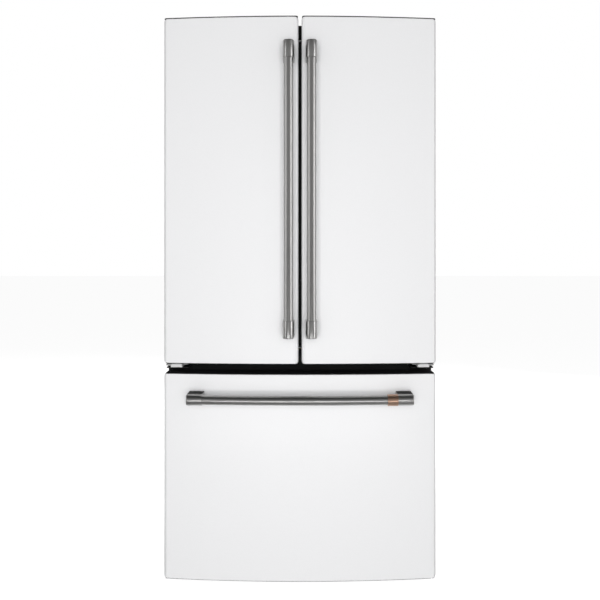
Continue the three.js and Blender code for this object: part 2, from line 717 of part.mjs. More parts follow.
function halfShelf(side) {
  const z = side < 0 ? SHELF_BOTTOM_Z.left : SHELF_BOTTOM_Z.right;
  const width = span(side, SHELF.centreGap, SHELF.half);
  const [front, back] = SHELF_Y;
  const plate = box(width, [front + SHELF.trimLap, back], [z, z + SHELF.glass]);
  const trim = box(width, [front, front + SHELF.trimDepth], [z, z + SHELF.trimHeight]);
  const hookY = [back - SHELF_HOOK.depth, DUCT.frontY - GAP];
  const hook = box(span(side, ...SHELF_HOOK.x), hookY, [z - SHELF_HOOK.drop, z + SHELF.trimLap]);
  return part(`shelf_${sideName(side)}`, join(plate, trim, hook), shelfGlass());
}

function crisperCover() {
  const z = SHELF_BOTTOM_Z.cover;
  const { frontY, trimLap, glass, dividerHalf, dividerZ } = COVER_PLATE;
  const plate = box(centred(SHELF.half), [frontY + trimLap, SHELF_Y[1]], [z, z + glass]);
  const trim = box(centred(SHELF.half), [frontY, frontY + SHELF.trimDepth], [z, z + SHELF.trimHeight]);
  const divider = box(centred(dividerHalf), [frontY + 2 * trimLap, SHELF_Y[1]], [dividerZ, z + OVERLAP]);
  return part('crisper_cover', join(plate, trim, divider), shelfGlass());
}

function crisper(side) {
  const drawer = openTray(span(side, ...CRISPER.x), CRISPER.y, CRISPER_Z);
  return part(`crisper_${sideName(side)}`, drawer, clearPlastic());
}

// ---------------------------------------------------------------- freezer interior

const SLIDE_Z = [334, 376];
const OUTER_RAIL_X = [366.5, 371.5];
const MID_RAIL_X = [361.5, 366.2];
const INNER_RAIL_X = [356.5, 361.2];
const RAIL_FRONT_Y = -190;
const RAIL_BACK_Y = { outer: 290, mid: 280, inner: 260 };
const CROSS_SHAFT = { y: 271, z: 352, radius: 5 };
const LOWER_BASKET = { half: 345, y: [-190, 100], z: [110, 336] };
const HANGER = { x: [343, 358], z: [334, 337] };
const UPPER_BASKET = { half: 352, y: [-185, 60], z: [380, 500] };
const BASKET_RUNNER = { x: [349, 360], topZ: 384 };

function outerRail(side) {
  const rail = box(span(side, ...OUTER_RAIL_X), [RAIL_FRONT_Y, RAIL_BACK_Y.outer], SLIDE_Z);
  return part(`rail_outer_${sideName(side)}`, rail, zincSteel());
}

// Both middle rails turn together on one cross shaft, which keeps the drawer square.
function midRailPair() {
  const length = [RAIL_FRONT_Y, RAIL_BACK_Y.mid];
  const rails = SIDES.map((side) => box(span(side, ...MID_RAIL_X), length, SLIDE_Z));
  const { y, z, radius } = CROSS_SHAFT;
  const shaft = rodX(centred(MID_RAIL_X[0] + OVERLAP), y, z, radius, ROD_STEPS);
  return part('rail_mid_pair', join(...rails, shaft), zincSteel());
}

function lowerBasket() {
  const { half, y, z } = LOWER_BASKET;
  const basket = openTray(centred(half), y, z);
  const railY = [DRAWER_DIKE_BACK_Y + GAP, RAIL_BACK_Y.inner];
  const rails = SIDES.map((side) => box(span(side, ...INNER_RAIL_X), railY, SLIDE_Z));
  const hangers = SIDES.map((side) => box(span(side, ...HANGER.x), y, HANGER.z));
  return part('freezer_basket_lower', join(basket, ...rails, ...hangers), clearPlastic());
}

function upperBasket() {
  const { half, y, z } = UPPER_BASKET;
  const basket = openTray(centred(half), y, z);
  const runnerZ = [SLIDE_Z[1] + GAP, BASKET_RUNNER.topZ];
  const runners = SIDES.map((side) => box(span(side, ...BASKET_RUNNER.x), y, runnerZ));
  return part('freezer_basket_upper', join(basket, ...runners), clearPlastic());
}

const COIL_COVER = { y: [298, 304], slotReach: 270, slotHalf: 20, slotZ: [590, 600] };
const COIL = { y: [309, 336], reach: 210, pitch: 60, finZ: [390, 580], endZ: [380, 590], endX: [248, 251] };
const COIL_TUBE = { y: 322, z: [420, 485, 550], radius: 5, half: 250 };

function evaporatorCover() {
  const { y, slotReach, slotHalf, slotZ } = COIL_COVER;
  const heights = [FREEZER_STEP_Z + 0.5, FREEZER_Z[1] - 0.5];
  const face = box(centred(CAVITY_X - 0.5), y, heights);
  const slots = [];
  for (let x = -slotReach; x <= slotReach; x += COIL.pitch) {
    slots.push(box(around(x, slotHalf), [y[0] - OVERLAP, y[1] + OVERLAP], slotZ));
  }
  return part('evaporator_cover', cut(face, ...slots), linerWhite());
}

function evaporatorCoil() {
  const { y, reach, pitch, finZ, endZ, endX } = COIL;
  const fins = [];
  for (let x = -reach; x <= reach; x += pitch) {
    fins.push(box(around(x, OVERLAP), y, finZ));
  }
  const { half, radius } = COIL_TUBE;
  const tubes = COIL_TUBE.z.map((z) => rodX(centred(half), COIL_TUBE.y, z, radius, CONDENSER_TUBE.sides));
  const ends = SIDES.map((side) => box(span(side, ...endX), y, endZ));
  return part('evaporator_coil', join(...ends, ...fins, ...tubes), finAluminium());
}

// ---------------------------------------------------------------- freezer drawer

function drawerPanel() {
  const skin = prismZ(skinOutline(-HALF_WIDTH, HALF_WIDTH, SKIN_CORNER), DRAWER_Z);
  return part('drawer_panel', skin, doorWhite());
}

function drawerLiner() {
  const { half, z, depth } = DRAWER_DIKE;
  const plateZ = [DRAWER_Z[0] + PLATE_INSET, DRAWER_Z[1] - PLATE_INSET];
  const pieces = linerWithDike(centred(HALF_WIDTH - PLATE_INSET), plateZ, centred(half), z, depth);
  return part('drawer_liner', join(...pieces), linerWhite());
}

function drawerGasket() {
  const ring = bandShape(centred(DOOR_GASKET.x[1]), DRAWER_GASKET_Z, GASKET_WIDTH);
  return part('drawer_gasket', prismY(ring, GASKET_Y), sealGrey());
}

// Centre line of the drawer handle: concentric with the bowed front.
function handleLineY(x) {
  return frontSurfaceY(x) + HANDLE_Y - DOOR_APEX_Y;
}

// A round length of the drawer handle, with ends square to the width.
function drawerBar(x0, x1, radius, steps) {
  const points = [];
  const excess = 5;
  const margin = 30;
  for (let i = 0; i <= steps; i += 1) {
    const x = x0 - excess + ((x1 - x0 + 2 * excess) * i) / steps;
    points.push([x, handleLineY(x), DRAWER_HANDLE_Z]);
  }
  const depth = [HANDLE_Y - margin, DOOR_EDGE_Y];
  const height = around(DRAWER_HANDLE_Z, margin);
  const ends = [box([x0 - margin, x0], depth, height), box([x1, x1 + margin], depth, height)];
  return cut(pipe(points, radius, steps, BAR_SIDES), ...ends);
}

// Side outline of a drawer bracket, from the drawer face to a rounded nose.
function drawerBracket(side) {
  const inner = DRAWER_HANDLE_END_X - DRAWER_BRACKET_LENGTH;
  const back = frontSurfaceY(inner) - GAP;
  const noseY = handleLineY(DRAWER_HANDLE_END_X) + NOSE_SET_BACK;
  const shape = new THREE.Shape();
  shape.moveTo(back, DRAWER_HANDLE_Z - BRACKET_HALF);
  shape.lineTo(back, DRAWER_HANDLE_Z + BRACKET_HALF);
  shape.lineTo(noseY, DRAWER_HANDLE_Z + BRACKET_HALF);
  shape.absarc(noseY, DRAWER_HANDLE_Z, BRACKET_HALF, Math.PI / 2, 1.5 * Math.PI);
  const bracket = prismX(shape, span(side, inner, DRAWER_HANDLE_END_X));
  return part(`drawer_handle_bracket_${sideName(side)}`, bracket, brushedSteel());
}

function drawerHandle() {
  const inner = DRAWER_HANDLE_END_X - DRAWER_BRACKET_LENGTH - GAP;
  return [
    part('drawer_handle_bar', drawerBar(-inner, RING_X[0] - GAP, BAR_RADIUS, 12), brushedSteel()),
    part('drawer_handle_ring', drawerBar(RING_X[0], inner - GAP, RING_RADIUS, 1), brushedCopper()),
    ...SIDES.map(drawerBracket),
  ];
}

function freezerDrawer() {
  const group = new THREE.Group();
  group.add(drawerPanel(), drawerLiner(), drawerGasket(), ...drawerHandle(), lowerBasket());
  return group;
}

// ---------------------------------------------------------------- assembly

function cabinet() {
  const group = new THREE.Group();
  group.add(
    outerCase(),
    backPanel(),
    insulationFoam(),
    fridgeLiner(),
    freezerLiner(),
    frontFrame(),
    baseChassis(),
    toeGrille(),
    compressorAndCondenser(),
    condenserFan(),
    machineCover(),
    fullShelf(),
    crisperCover(),
    evaporatorCover(),
    evaporatorCoil(),
  );
  for (const side of SIDES) {
    group.add(
      levelingLeg(side),
      rearRoller(side),
      midHinge(side),
      topHinge(side),
      hingeCover(side),
      halfShelf(side),
      crisper(side),
      outerRail(side),
    );
  }
  return group;
}

const refrigerator = new THREE.Group();
refrigerator.add(cabinet(), ...SIDES.map(door), freezerDrawer(), midRailPair(), upperBasket());

export default refrigerator;
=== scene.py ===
"""French door refrigerator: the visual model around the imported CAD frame.

Metres, front faces -Y, +Z up. Places come from the CAD nodes' boxes.
"""

import math

import bmesh
import bpy
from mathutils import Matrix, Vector


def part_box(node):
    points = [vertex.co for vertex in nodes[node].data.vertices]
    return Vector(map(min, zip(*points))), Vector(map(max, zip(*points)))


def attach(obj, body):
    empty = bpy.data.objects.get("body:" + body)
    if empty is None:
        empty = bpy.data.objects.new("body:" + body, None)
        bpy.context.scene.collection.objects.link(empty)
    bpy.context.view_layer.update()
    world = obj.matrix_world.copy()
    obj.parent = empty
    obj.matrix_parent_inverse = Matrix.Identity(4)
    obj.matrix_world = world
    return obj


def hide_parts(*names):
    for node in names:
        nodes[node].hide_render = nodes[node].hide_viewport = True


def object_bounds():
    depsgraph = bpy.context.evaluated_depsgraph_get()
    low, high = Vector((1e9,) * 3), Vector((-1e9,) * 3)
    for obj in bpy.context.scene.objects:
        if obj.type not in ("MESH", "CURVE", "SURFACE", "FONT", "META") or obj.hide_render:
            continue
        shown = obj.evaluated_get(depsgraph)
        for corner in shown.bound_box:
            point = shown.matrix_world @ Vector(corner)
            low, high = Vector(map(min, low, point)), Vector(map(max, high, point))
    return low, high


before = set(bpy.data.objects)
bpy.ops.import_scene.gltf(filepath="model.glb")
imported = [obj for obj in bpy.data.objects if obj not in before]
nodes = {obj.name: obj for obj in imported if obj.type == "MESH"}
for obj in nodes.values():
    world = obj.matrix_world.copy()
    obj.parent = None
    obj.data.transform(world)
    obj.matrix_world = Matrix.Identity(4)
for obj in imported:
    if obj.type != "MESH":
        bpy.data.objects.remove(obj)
cad_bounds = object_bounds()
SIDES = {"left": -1, "right": 1}

# ------------------------------------------------------------------ camera, light, floor

DOOR_FRONT_Y = -0.303
CAMERA_DISTANCE = 2.3
CAMERA_HEIGHT = 1.0
CAMERA_LENS = 45.15
HORIZON_SHIFT = -0.0602
FLOOR_HALF = 60
FLOOR_GLOW = 0.93


def make_camera():
    data = bpy.data.cameras.new("camera")
    data.lens = CAMERA_LENS
    data.shift_y = HORIZON_SHIFT
    camera = bpy.data.objects.new("camera", data)
    camera.location = (0.0, DOOR_FRONT_Y - CAMERA_DISTANCE, CAMERA_HEIGHT)
    camera.rotation_euler = (math.radians(90), 0, 0)
    bpy.context.scene.collection.objects.link(camera)
    bpy.context.scene.camera = camera


def area_light(name, place, target, size, power, glossy=True, diffuse=True):
    data = bpy.data.lights.new(name, "AREA")
    data.shape = "RECTANGLE"
    data.size, data.size_y = size
    data.energy = power
    light = bpy.data.objects.new(name, data)
    light.location = place
    light.rotation_euler = (Vector(target) - Vector(place)).to_track_quat("-Z", "Y").to_euler()
    light.visible_camera = False
    light.visible_glossy = glossy
    light.visible_diffuse = diffuse
    bpy.context.scene.collection.objects.link(light)


def make_lights():
    front = (0, DOOR_FRONT_Y, 0.9)
    area_light("front_key", (0, -4.2, 0.95), front, (1.95, 1.95), 108, glossy=False)
    area_light("low_fill", (0, -3.6, 0.2), (0, DOOR_FRONT_Y, 0.3), (2.4, 0.5), 8, glossy=False)
    area_light("floor_box", (0, -2.2, 0.1), (0, DOOR_FRONT_Y, 0.6), (2.0, 0.14), 6.4, diffuse=False)
    area_light("overhead_fill", (0, 0.2, 3.6), (0, 0.2, 1.7), (2.4, 1.6), 12, glossy=False)
    # Not seen in reflections: the cabinet's side would mirror it towards a viewer in front.
    area_light("rear_key", (1.3, 3.9, 2.1), (0, 0.4, 0.85), (1.6, 1.6), 130, glossy=False)
    for side, sign, strip, fill in (("left", -1, 14, 40), ("right", 1, 25, 60)):
        area_light(f"{side}_strip", (sign * 2.37, -1.43, 1.0), front, (0.7, 3.0), strip, diffuse=False)
        area_light(f"{side}_rear_fill", (sign * 3.0, 2.8, 2.0), (0, 0, 0.9), (2.0, 2.0), fill, glossy=False)


def make_world():
    """White to the camera; for other rays, a room bright ahead and low, dark overhead and behind."""
    world = bpy.data.worlds.new("studio")
    bpy.context.scene.world = world
    world.use_nodes = True
    tree = world.node_tree
    tree.nodes.clear()
    output = tree.nodes.new("ShaderNodeOutputWorld")
    mix = tree.nodes.new("ShaderNodeMixShader")
    seen = tree.nodes.new("ShaderNodeBackground")
    seen.inputs["Color"].default_value = (1, 1, 1, 1)
    around = tree.nodes.new("ShaderNodeBackground")
    direction = tree.nodes.new("ShaderNodeTexCoord")
    parts = tree.nodes.new("ShaderNodeSeparateXYZ")
    tree.links.new(direction.outputs["Generated"], parts.inputs[0])
    height = spread(tree, parts.outputs["Z"], 0.6, 0.05, (0.05, 0.75))
    depth = spread(tree, parts.outputs["Y"], 1.0, 0.12, (-0.35, 0.2))
    level = tree.nodes.new("ShaderNodeMath")
    level.operation = "MULTIPLY"
    tree.links.new(height, level.inputs[0])
    tree.links.new(depth, level.inputs[1])
    tree.links.new(level.outputs[0], around.inputs["Strength"])
    path = tree.nodes.new("ShaderNodeLightPath")
    tree.links.new(path.outputs["Is Camera Ray"], mix.inputs["Fac"])
    tree.links.new(around.outputs[0], mix.inputs[1])
    tree.links.new(seen.outputs[0], mix.inputs[2])
    tree.links.new(mix.outputs[0], output.inputs["Surface"])


def set_colours():
    view = bpy.context.scene.view_settings
    view.view_transform = "Standard"
    view.look = "None"


# ------------------------------------------------------------------ materials

def principled(name, color, roughness, metallic=0.0, coat=0.0, specular=0.5):
    material = bpy.data.materials.new(name)
    material.use_nodes = True
    shader = material.node_tree.nodes["Principled BSDF"]
    shader.inputs["Base Color"].default_value = (*color, 1)
    shader.inputs["Roughness"].default_value = roughness
    shader.inputs["Metallic"].default_value = metallic
    shader.inputs["Coat Weight"].default_value = coat
    shader.inputs["Specular IOR Level"].default_value = specular
    return material, material.node_tree, shader


def noise(tree, scale, detail=3.0, rough=0.5, stretch=(1, 1, 1)):
    """A noise texture fixed to the piece; stretch multiplies its scale along each axis."""
    place = tree.nodes.new("ShaderNodeTexCoord")
    mapping = tree.nodes.new("ShaderNodeMapping")
    mapping.inputs["Scale"].default_value = stretch
    texture = tree.nodes.new("ShaderNodeTexNoise")
    texture.inputs["Scale"].default_value = scale
    texture.inputs["Detail"].default_value = detail
    texture.inputs["Roughness"].default_value = rough
    tree.links.new(place.outputs["Object"], mapping.inputs["Vector"])
    tree.links.new(mapping.outputs["Vector"], texture.inputs["Vector"])
    return texture.outputs["Fac"]


def spread(tree, value, low, high, source=(0.3, 0.7)):
    """Maps a texture value to a range."""
    ramp = tree.nodes.new("ShaderNodeMapRange")
    ramp.inputs["From Min"].default_value = source[0]
    ramp.inputs["From Max"].default_value = source[1]
    ramp.inputs["To Min"].default_value = low
    ramp.inputs["To Max"].default_value = high
    tree.links.new(value, ramp.inputs["Value"])
    return ramp.outputs["Result"]


def mix_colors(tree, factor, first, second):
    mix = tree.nodes.new("ShaderNodeMix")
    mix.data_type = "RGBA"
    mix.inputs["A"].default_value = (*first, 1)
    mix.inputs["B"].default_value = (*second, 1)
    tree.links.new(factor, mix.inputs["Factor"])
    return mix.outputs["Result"]


def bump(tree, shader, height, strength, distance):
    node = tree.nodes.new("ShaderNodeBump")
    node.inputs["Strength"].default_value = strength
    node.inputs["Distance"].default_value = distance
    tree.links.new(height, node.inputs["Height"])
    tree.links.new(node.outputs["Normal"], shader.inputs["Normal"])


def shades(color, change):
    return tuple(c * (1 - change) for c in color), tuple(min(1, c * (1 + change)) for c in color)


def textured(name, color, roughness, metallic=0.0, tone=0.03, tone_scale=8, grain=900,
             grain_depth=0.00005, rough_change=0.06, stretch=(1, 1, 1), coat=0.0, specular=0.5):
    """A surface with slow colour drift, fine grain in its bump and uneven roughness."""
    material, tree, shader = principled(name, color, roughness, metallic, coat, specular)
    drift = noise(tree, tone_scale, 4, 0.6)
    fine = noise(tree, grain, 2, 0.5, stretch)
    dark, light = shades(color, tone)
    tree.links.new(mix_colors(tree, spread(tree, drift, 0, 1), dark, light), shader.inputs["Base Color"])
    rough = spread(tree, drift, roughness - rough_change, roughness + rough_change)
    tree.links.new(rough, shader.inputs["Roughness"])
    bump(tree, shader, fine, 0.5, grain_depth)
    return material


def door_paint():
    """Matte white powder coat: a fine even grain, and faint handling marks in its gloss."""
    material, tree, shader = principled("door_paint", (0.84, 0.84, 0.85), 0.46, coat=0.2)
    shader.inputs["Coat Roughness"].default_value = 0.22
    grain = noise(tree, 700, 3, 0.6)
    smudge = noise(tree, 5, 5, 0.6, (1, 1, 0.5))
    share = spread(tree, grain, 0, 1, (0.35, 0.65))
    tone = mix_colors(tree, share, (0.825, 0.826, 0.835), (0.855, 0.855, 0.862))
    tree.links.new(tone, shader.inputs["Base Color"])
    tree.links.new(spread(tree, smudge, 0.42, 0.52), shader.inputs["Roughness"])
    bump(tree, shader, grain, 0.35, 0.00006)
    return material


def brushed(name, color, roughness, along, streak=0.05):
    """Brushed metal: fine scratches that run along one axis, with broad soft bands."""
    material, tree, shader = principled(name, color, roughness, 1.0)
    across = [1.0, 1.0, 1.0]
    across["xyz".index(along)] = 0.004
    lines = noise(tree, 2600, 2, 0.7, across)
    bands = noise(tree, 260, 3, 0.6, across)
    dark, light = shades(color, streak)
    tree.links.new(mix_colors(tree, spread(tree, bands, 0, 1), dark, light), shader.inputs["Base Color"])
    tree.links.new(spread(tree, lines, roughness - 0.012, roughness + 0.015), shader.inputs["Roughness"])
    bump(tree, shader, lines, 0.12, 0.00001)
    return material


def steel_painted_shade():
    """Steel painted dark as shade for the posts' flat sides; a low edge tint keeps it dark when seen along
    its surface.
    """
    material = textured("steel_painted_shade", (0.09, 0.088, 0.086), 0.38, 1.0, tone=0.06, tone_scale=60, grain=1200)
    shader = material.node_tree.nodes["Principled BSDF"]
    shader.inputs["Specular Tint"].default_value = (0.28, 0.28, 0.28, 1)
    return material


def clear_plastic():
    roughness = 0.12
    material, tree, shader = principled("clear_plastic", (0.93, 0.96, 0.97), roughness)
    shader.inputs["Transmission Weight"].default_value = 0.88
    shader.inputs["IOR"].default_value = 1.3
    haze = noise(tree, 60, 3, 0.6)
    tree.links.new(spread(tree, haze, roughness - 0.05, roughness + 0.08), shader.inputs["Roughness"])
    bump(tree, shader, noise(tree, 300, 2), 0.2, 0.00005)
    return material


def glass():
    material, tree, shader = principled("shelf_glass", (0.86, 0.95, 0.93), 0.03)
    shader.inputs["Transmission Weight"].default_value = 0.95
    shader.inputs["IOR"].default_value = 1.3
    smears = noise(tree, 14, 4, 0.6)
    tree.links.new(spread(tree, smears, 0.02, 0.1), shader.inputs["Roughness"])
    return material


def lamp():
    material, tree, shader = principled("lamp_lens", (0.95, 0.95, 0.93), 0.3)
    shader.inputs["Emission Color"].default_value = (1.0, 0.97, 0.92, 1)
    shader.inputs["Emission Strength"].default_value = 6.0
    cells = noise(tree, 500, 1)
    bump(tree, shader, cells, 0.4, 0.0001)
    return material


# name: colour, roughness and what differs from textured()'s usual values
TEXTURED = {
    "case_paint": ((0.1, 0.104, 0.11), 0.46, dict(grain=380, grain_depth=0.0004, tone=0.08)),
    "frame_black": ((0.006, 0.006, 0.006), 0.45, dict(tone=0.15, grain=600, specular=0.25)),
    "zinc": ((0.5, 0.51, 0.52), 0.42, dict(metallic=1.0, tone=0.1, tone_scale=90, grain=1200)),
    "hinge_grey": ((0.66, 0.66, 0.66), 0.5, dict(tone=0.04)),
    # the hinge grey painted darker as shade, for the hinge link
    "hinge_painted_shade": ((0.3, 0.3, 0.3), 0.5, dict(tone=0.04)),
    "liner_white": ((0.86, 0.87, 0.87), 0.34, dict(tone=0.015, grain=500, grain_depth=0.00004)),
    "seal_grey": ((0.16, 0.165, 0.17), 0.62, dict(tone=0.08, grain=700, grain_depth=0.0001)),
    "white_trim": ((0.8, 0.81, 0.81), 0.4, dict(tone=0.02, grain=800)),
    "black_plastic": ((0.014, 0.014, 0.015), 0.5, dict(tone=0.15, grain=650, grain_depth=0.0001)),
    "black_enamel": ((0.01, 0.01, 0.011), 0.3, dict(tone=0.2, grain=300, coat=0.3)),
    "copper_tube": ((0.72, 0.38, 0.24), 0.34, dict(metallic=1.0, tone=0.15, tone_scale=60)),
    "foam": ((0.72, 0.58, 0.3), 0.85, dict(tone=0.12, tone_scale=40, grain=260, grain_depth=0.0008)),
    "fin_aluminium": ((0.62, 0.63, 0.64), 0.38, dict(metallic=1.0, tone=0.06)),
    "rubber": ((0.02, 0.02, 0.02), 0.7, dict(tone=0.1, grain=500, grain_depth=0.00015)),
}
STEEL_COLOR = (0.44, 0.436, 0.43)
STEEL_ROUGHNESS = 0.3


def make_materials():
    made = {name: textured(name, color, rough, **rest) for name, (color, rough, rest) in TEXTURED.items()}
    made["door_paint"] = door_paint()
    for along in "zx":
        made[f"steel_{along}"] = brushed(f"steel_{along}", STEEL_COLOR, STEEL_ROUGHNESS, along)
    made["copper_x"] = brushed("copper_x", (0.58, 0.385, 0.285), 0.34, "x", 0.08)
    made["steel_painted_shade"] = steel_painted_shade()
    made["clear_plastic"] = clear_plastic()
    made["shelf_glass"] = glass()
    made["lamp_lens"] = lamp()
    return made


# ------------------------------------------------------------------ shape tools

SHARP_EDGE = math.radians(32)


def register(piece, body, replaces):
    """Puts a piece in the scene and says where it belongs in the frame."""
    bpy.context.scene.collection.objects.link(piece)
    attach(piece, body)
    if replaces:
        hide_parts(*replaces)
    return piece


def add_piece(name, verts, faces, material, body, replaces):
    """A mesh piece in frame coordinates, smooth except at its sharp edges."""
    mesh = bpy.data.meshes.new(name)
    mesh.from_pydata(verts, [], faces)
    work = bmesh.new()
    work.from_mesh(mesh)
    bmesh.ops.remove_doubles(work, verts=work.verts, dist=1e-6)
    bmesh.ops.recalc_face_normals(work, faces=work.faces)
    work.to_mesh(mesh)
    work.free()
    mesh.shade_smooth()
    mesh.set_sharp_from_angle(angle=SHARP_EDGE)
    mesh.materials.append(materials[material])
    return register(bpy.data.objects.new(name, mesh), body, replaces)


def grow(pair, amount):
    return pair[0] - amount, pair[1] + amount


def about(middle, half):
    return middle - half, middle + half


def side_span(sign, near, far):
    """Distances from the centre line become an x range on one side."""
    return (near, far) if sign > 0 else (-far, -near)


def polar(centre, reach, turn):
    """The point at a distance and an angle from a centre."""
    return centre[0] + reach * math.cos(turn), centre[1] + reach * math.sin(turn)


def to_space(axis, u, v, w):
    """Plane coordinates and a depth along an axis become a point in the frame."""
    if axis == "z":
        return (u, v, w)
    if axis == "y":
        return (u, w, v)
    return (w, u, v)


class Shell:
    """Collects vertices and faces for one piece."""

    def __init__(self):
        self.verts = []
        self.faces = []

    def loft(self, axis, rings, wrap=False):
        """Skins a row of rings, each (points, depth), with equal point counts."""
        start = len(self.verts)
        count = len(rings[0][0])
        for points, depth in rings:
            self.verts += [to_space(axis, u, v, depth) for u, v in points]
        loops = [[start + r * count + i for i in range(count)] for r in range(len(rings))]
        pairs = list(zip(loops, loops[1:])) + ([(loops[-1], loops[0])] if wrap else [])
        for a, b in pairs:
            for i in range(count):
                j = (i + 1) % count
                self.faces.append((a[i], a[j], b[j], b[i]))
        if not wrap:
            self.faces += [tuple(loops[0]), tuple(reversed(loops[-1]))]
        return self

    def block(self, x, y, z, radius, steps=3):
        """A box with rounded edges, lofted along Z."""
        def section(inset):
            return rounded(*grow(x, -inset), *grow(y, -inset), radius - inset, steps)

        return self.loft("z", both_ends(z, radius, radius, section, steps))

    def turned(self, axis, centre, profile, steps=32):
        """A turned shape: profile is a row of (radius, depth along the axis)."""
        return self.loft(axis, [(circle(centre, r, steps), w) for r, w in profile])

    def piece(self, name, material, body="cabinet", replaces=(), slot=None):
        return add_piece(name, self.verts, self.faces, material, body, replaces)


def rounding(radius, steps=4):
    """(inset, depth) pairs that round an end edge."""
    turns = [math.pi / 2 * i / steps for i in range(steps + 1)]
    return [(radius * (1 - math.sin(t)), radius * (1 - math.cos(t))) for t in turns]


def both_ends(ends, low, high, section, steps=4):
    """Rings of a section between two ends, each end edge rounded; section takes an inset."""
    rings = [(section(i), ends[0] + h) for i, h in rounding(low, steps)]
    return rings + [(section(i), ends[1] - h) for i, h in reversed(rounding(high, steps))]


def rounded(u0, u1, v0, v1, radius, steps=4):
    """A rectangle with rounded corners, anticlockwise."""
    radius = max(min(radius, (u1 - u0) / 2 - 1e-5, (v1 - v0) / 2 - 1e-5), 1e-5)
    points = []
    corners = ((u1 - radius, v0 + radius, -90), (u1 - radius, v1 - radius, 0),
               (u0 + radius, v1 - radius, 90), (u0 + radius, v0 + radius, 180))
    for cu, cv, begin in corners:
        for i in range(steps + 1):
            angle = math.radians(begin + 90 * i / steps)
            points.append(polar((cu, cv), radius, angle))
    return points


def circle(centre, radius, steps=32):
    return [polar(centre, radius, 2 * math.pi * i / steps) for i in range(steps)]


def hexagon(centre, radius, steps=24):
    """Points of a hexagon, as many as a circle of the same step count has."""
    points = []
    for i in range(steps):
        turn = 2 * math.pi * i / steps
        offset = (turn % (math.pi / 3)) - math.pi / 6
        points.append(polar(centre, radius * math.cos(math.pi / 6) / math.cos(offset), turn))
    return points


def soften(points, radius, steps=4):
    """Rounds every corner of a closed outline."""
    smooth = []
    for i, point in enumerate(points):
        here = Vector(point)
        before = Vector(points[i - 1]) - here
        after = Vector(points[(i + 1) % len(points)]) - here
        start = here + before.normalized() * min(radius, before.length * 0.49)
        end = here + after.normalized() * min(radius, after.length * 0.49)
        for s in range(steps + 1):
            t = s / steps
            smooth.append(tuple((1 - t) ** 2 * start + 2 * t * (1 - t) * here + t ** 2 * end))
    return smooth


def rect_loft(shell, axis, rows, wrap=False, steps=5):
    """Skins rounded rectangles: each row is ((u0, u1), (v0, v1), corner radius, depth)."""
    rings = [(rounded(*u, *v, radius, steps), depth) for u, v, radius, depth in rows]
    return shell.loft(axis, rings, wrap=wrap)


def inset_rows(u, v, radius, base, pairs):
    """Rows for rect_loft, one for each (inset, height above the base)."""
    return [(grow(u, -i), grow(v, -i), radius, base + h) for i, h in pairs]


def bar_of(shell, axis, outline, ends):
    """A straight bar with the given section."""
    return shell.loft(axis, [(outline, ends[0]), (outline, ends[1])])


def tray(shell, x, y, z, wall=0.0026, draft=0.007, corner=0.02, lip=0.005, bead=0.0016):
    """A moulded open tray: drafted walls with a pressed bead, a rounded floor edge and a rolled rim."""
    def row(inset, height, radius=corner):
        return grow(x, -inset), grow(y, -inset), max(radius - inset / 2, 0.003), height

    depth = z[1] - z[0]
    floor_edge = 0.009
    rows = [row(draft + lip + inset, z[0] + rise) for inset, rise in rounding(floor_edge, 4)]
    for share, out in ((0.55, 0.0), (0.57, bead), (0.66, bead), (0.68, 0.0)):
        rows.append(row(lip + draft * (1 - share) - out, z[0] + depth * share))
    rows += [row(lip, z[1] - 0.009), row(0.0008, z[1] - 0.0085), row(0, z[1] - 0.0075), row(0, z[1] - 0.001),
             row(0.001, z[1]), row(lip + wall - 0.0008, z[1]), row(lip + wall, z[1] - 0.0008)]
    rows += [row(draft + lip + wall + inset, z[0] + wall + rise)
             for inset, rise in reversed(rounding(floor_edge - wall, 4))]
    return rect_loft(shell, "z", rows)


def tubes(name, routes, radius, material, smooth=True):
    """Round tubes or wires along routes of points, as one curve piece."""
    data = bpy.data.curves.new(name, "CURVE")
    data.dimensions = "3D"
    data.bevel_depth = radius
    data.bevel_resolution = 3
    data.use_fill_caps = True
    for route in routes:
        spline = data.splines.new("NURBS" if smooth else "POLY")
        spline.points.add(len(route) - 1)
        for point, place in zip(spline.points, route):
            point.co = (*place, 1)
        if smooth:
            spline.order_u = 3
            spline.use_endpoint_u = True
            spline.resolution_u = 4
    data.materials.append(materials[material])
    return register(bpy.data.objects.new(name, data), "cabinet", ())


def span(node):
    """A CAD node's box as three (low, high) pairs."""
    low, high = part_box(node)
    return [(low[i], high[i]) for i in range(3)]


def screws(name, places, level):
    """Domed hexagon-socket screws that stand on a level face."""
    radius = 0.0045
    height = radius * 0.55
    shell = Shell()
    for centre in places:
        shell.loft("z", [
            (circle(centre, radius, 24), level),
            (circle(centre, radius, 24), level + height * 0.4),
            (circle(centre, radius * 0.8, 24), level + height * 0.85),
            (circle(centre, radius * 0.55, 24), level + height),
            (hexagon(centre, radius * 0.5), level + height),
            (hexagon(centre, radius * 0.48), level + height * 0.25),
        ])
    shell.piece(name, "zinc")


# ------------------------------------------------------------------ door and drawer skins

APEX_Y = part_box("drawer_panel")[0][1]
SKIN_BACK_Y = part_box("drawer_panel")[1][1]
HALF_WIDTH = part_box("drawer_panel")[1][0]
DOOR_BOW = DOOR_FRONT_Y - APEX_Y
BOW_RADIUS = (HALF_WIDTH ** 2 + DOOR_BOW ** 2) / (2 * DOOR_BOW)


def front_y(x):
    """Depth of the bowed front at a distance from the centre line."""
    return APEX_Y + BOW_RADIUS - math.sqrt(BOW_RADIUS ** 2 - x ** 2)


CORNER_STEPS = 6
BOW_STEPS = 28


def skin_corner(centre, radius, begin):
    """A quarter turn round a corner of a skin."""
    return [polar(centre, radius, begin + math.pi / 2 * i / CORNER_STEPS) for i in range(CORNER_STEPS + 1)]


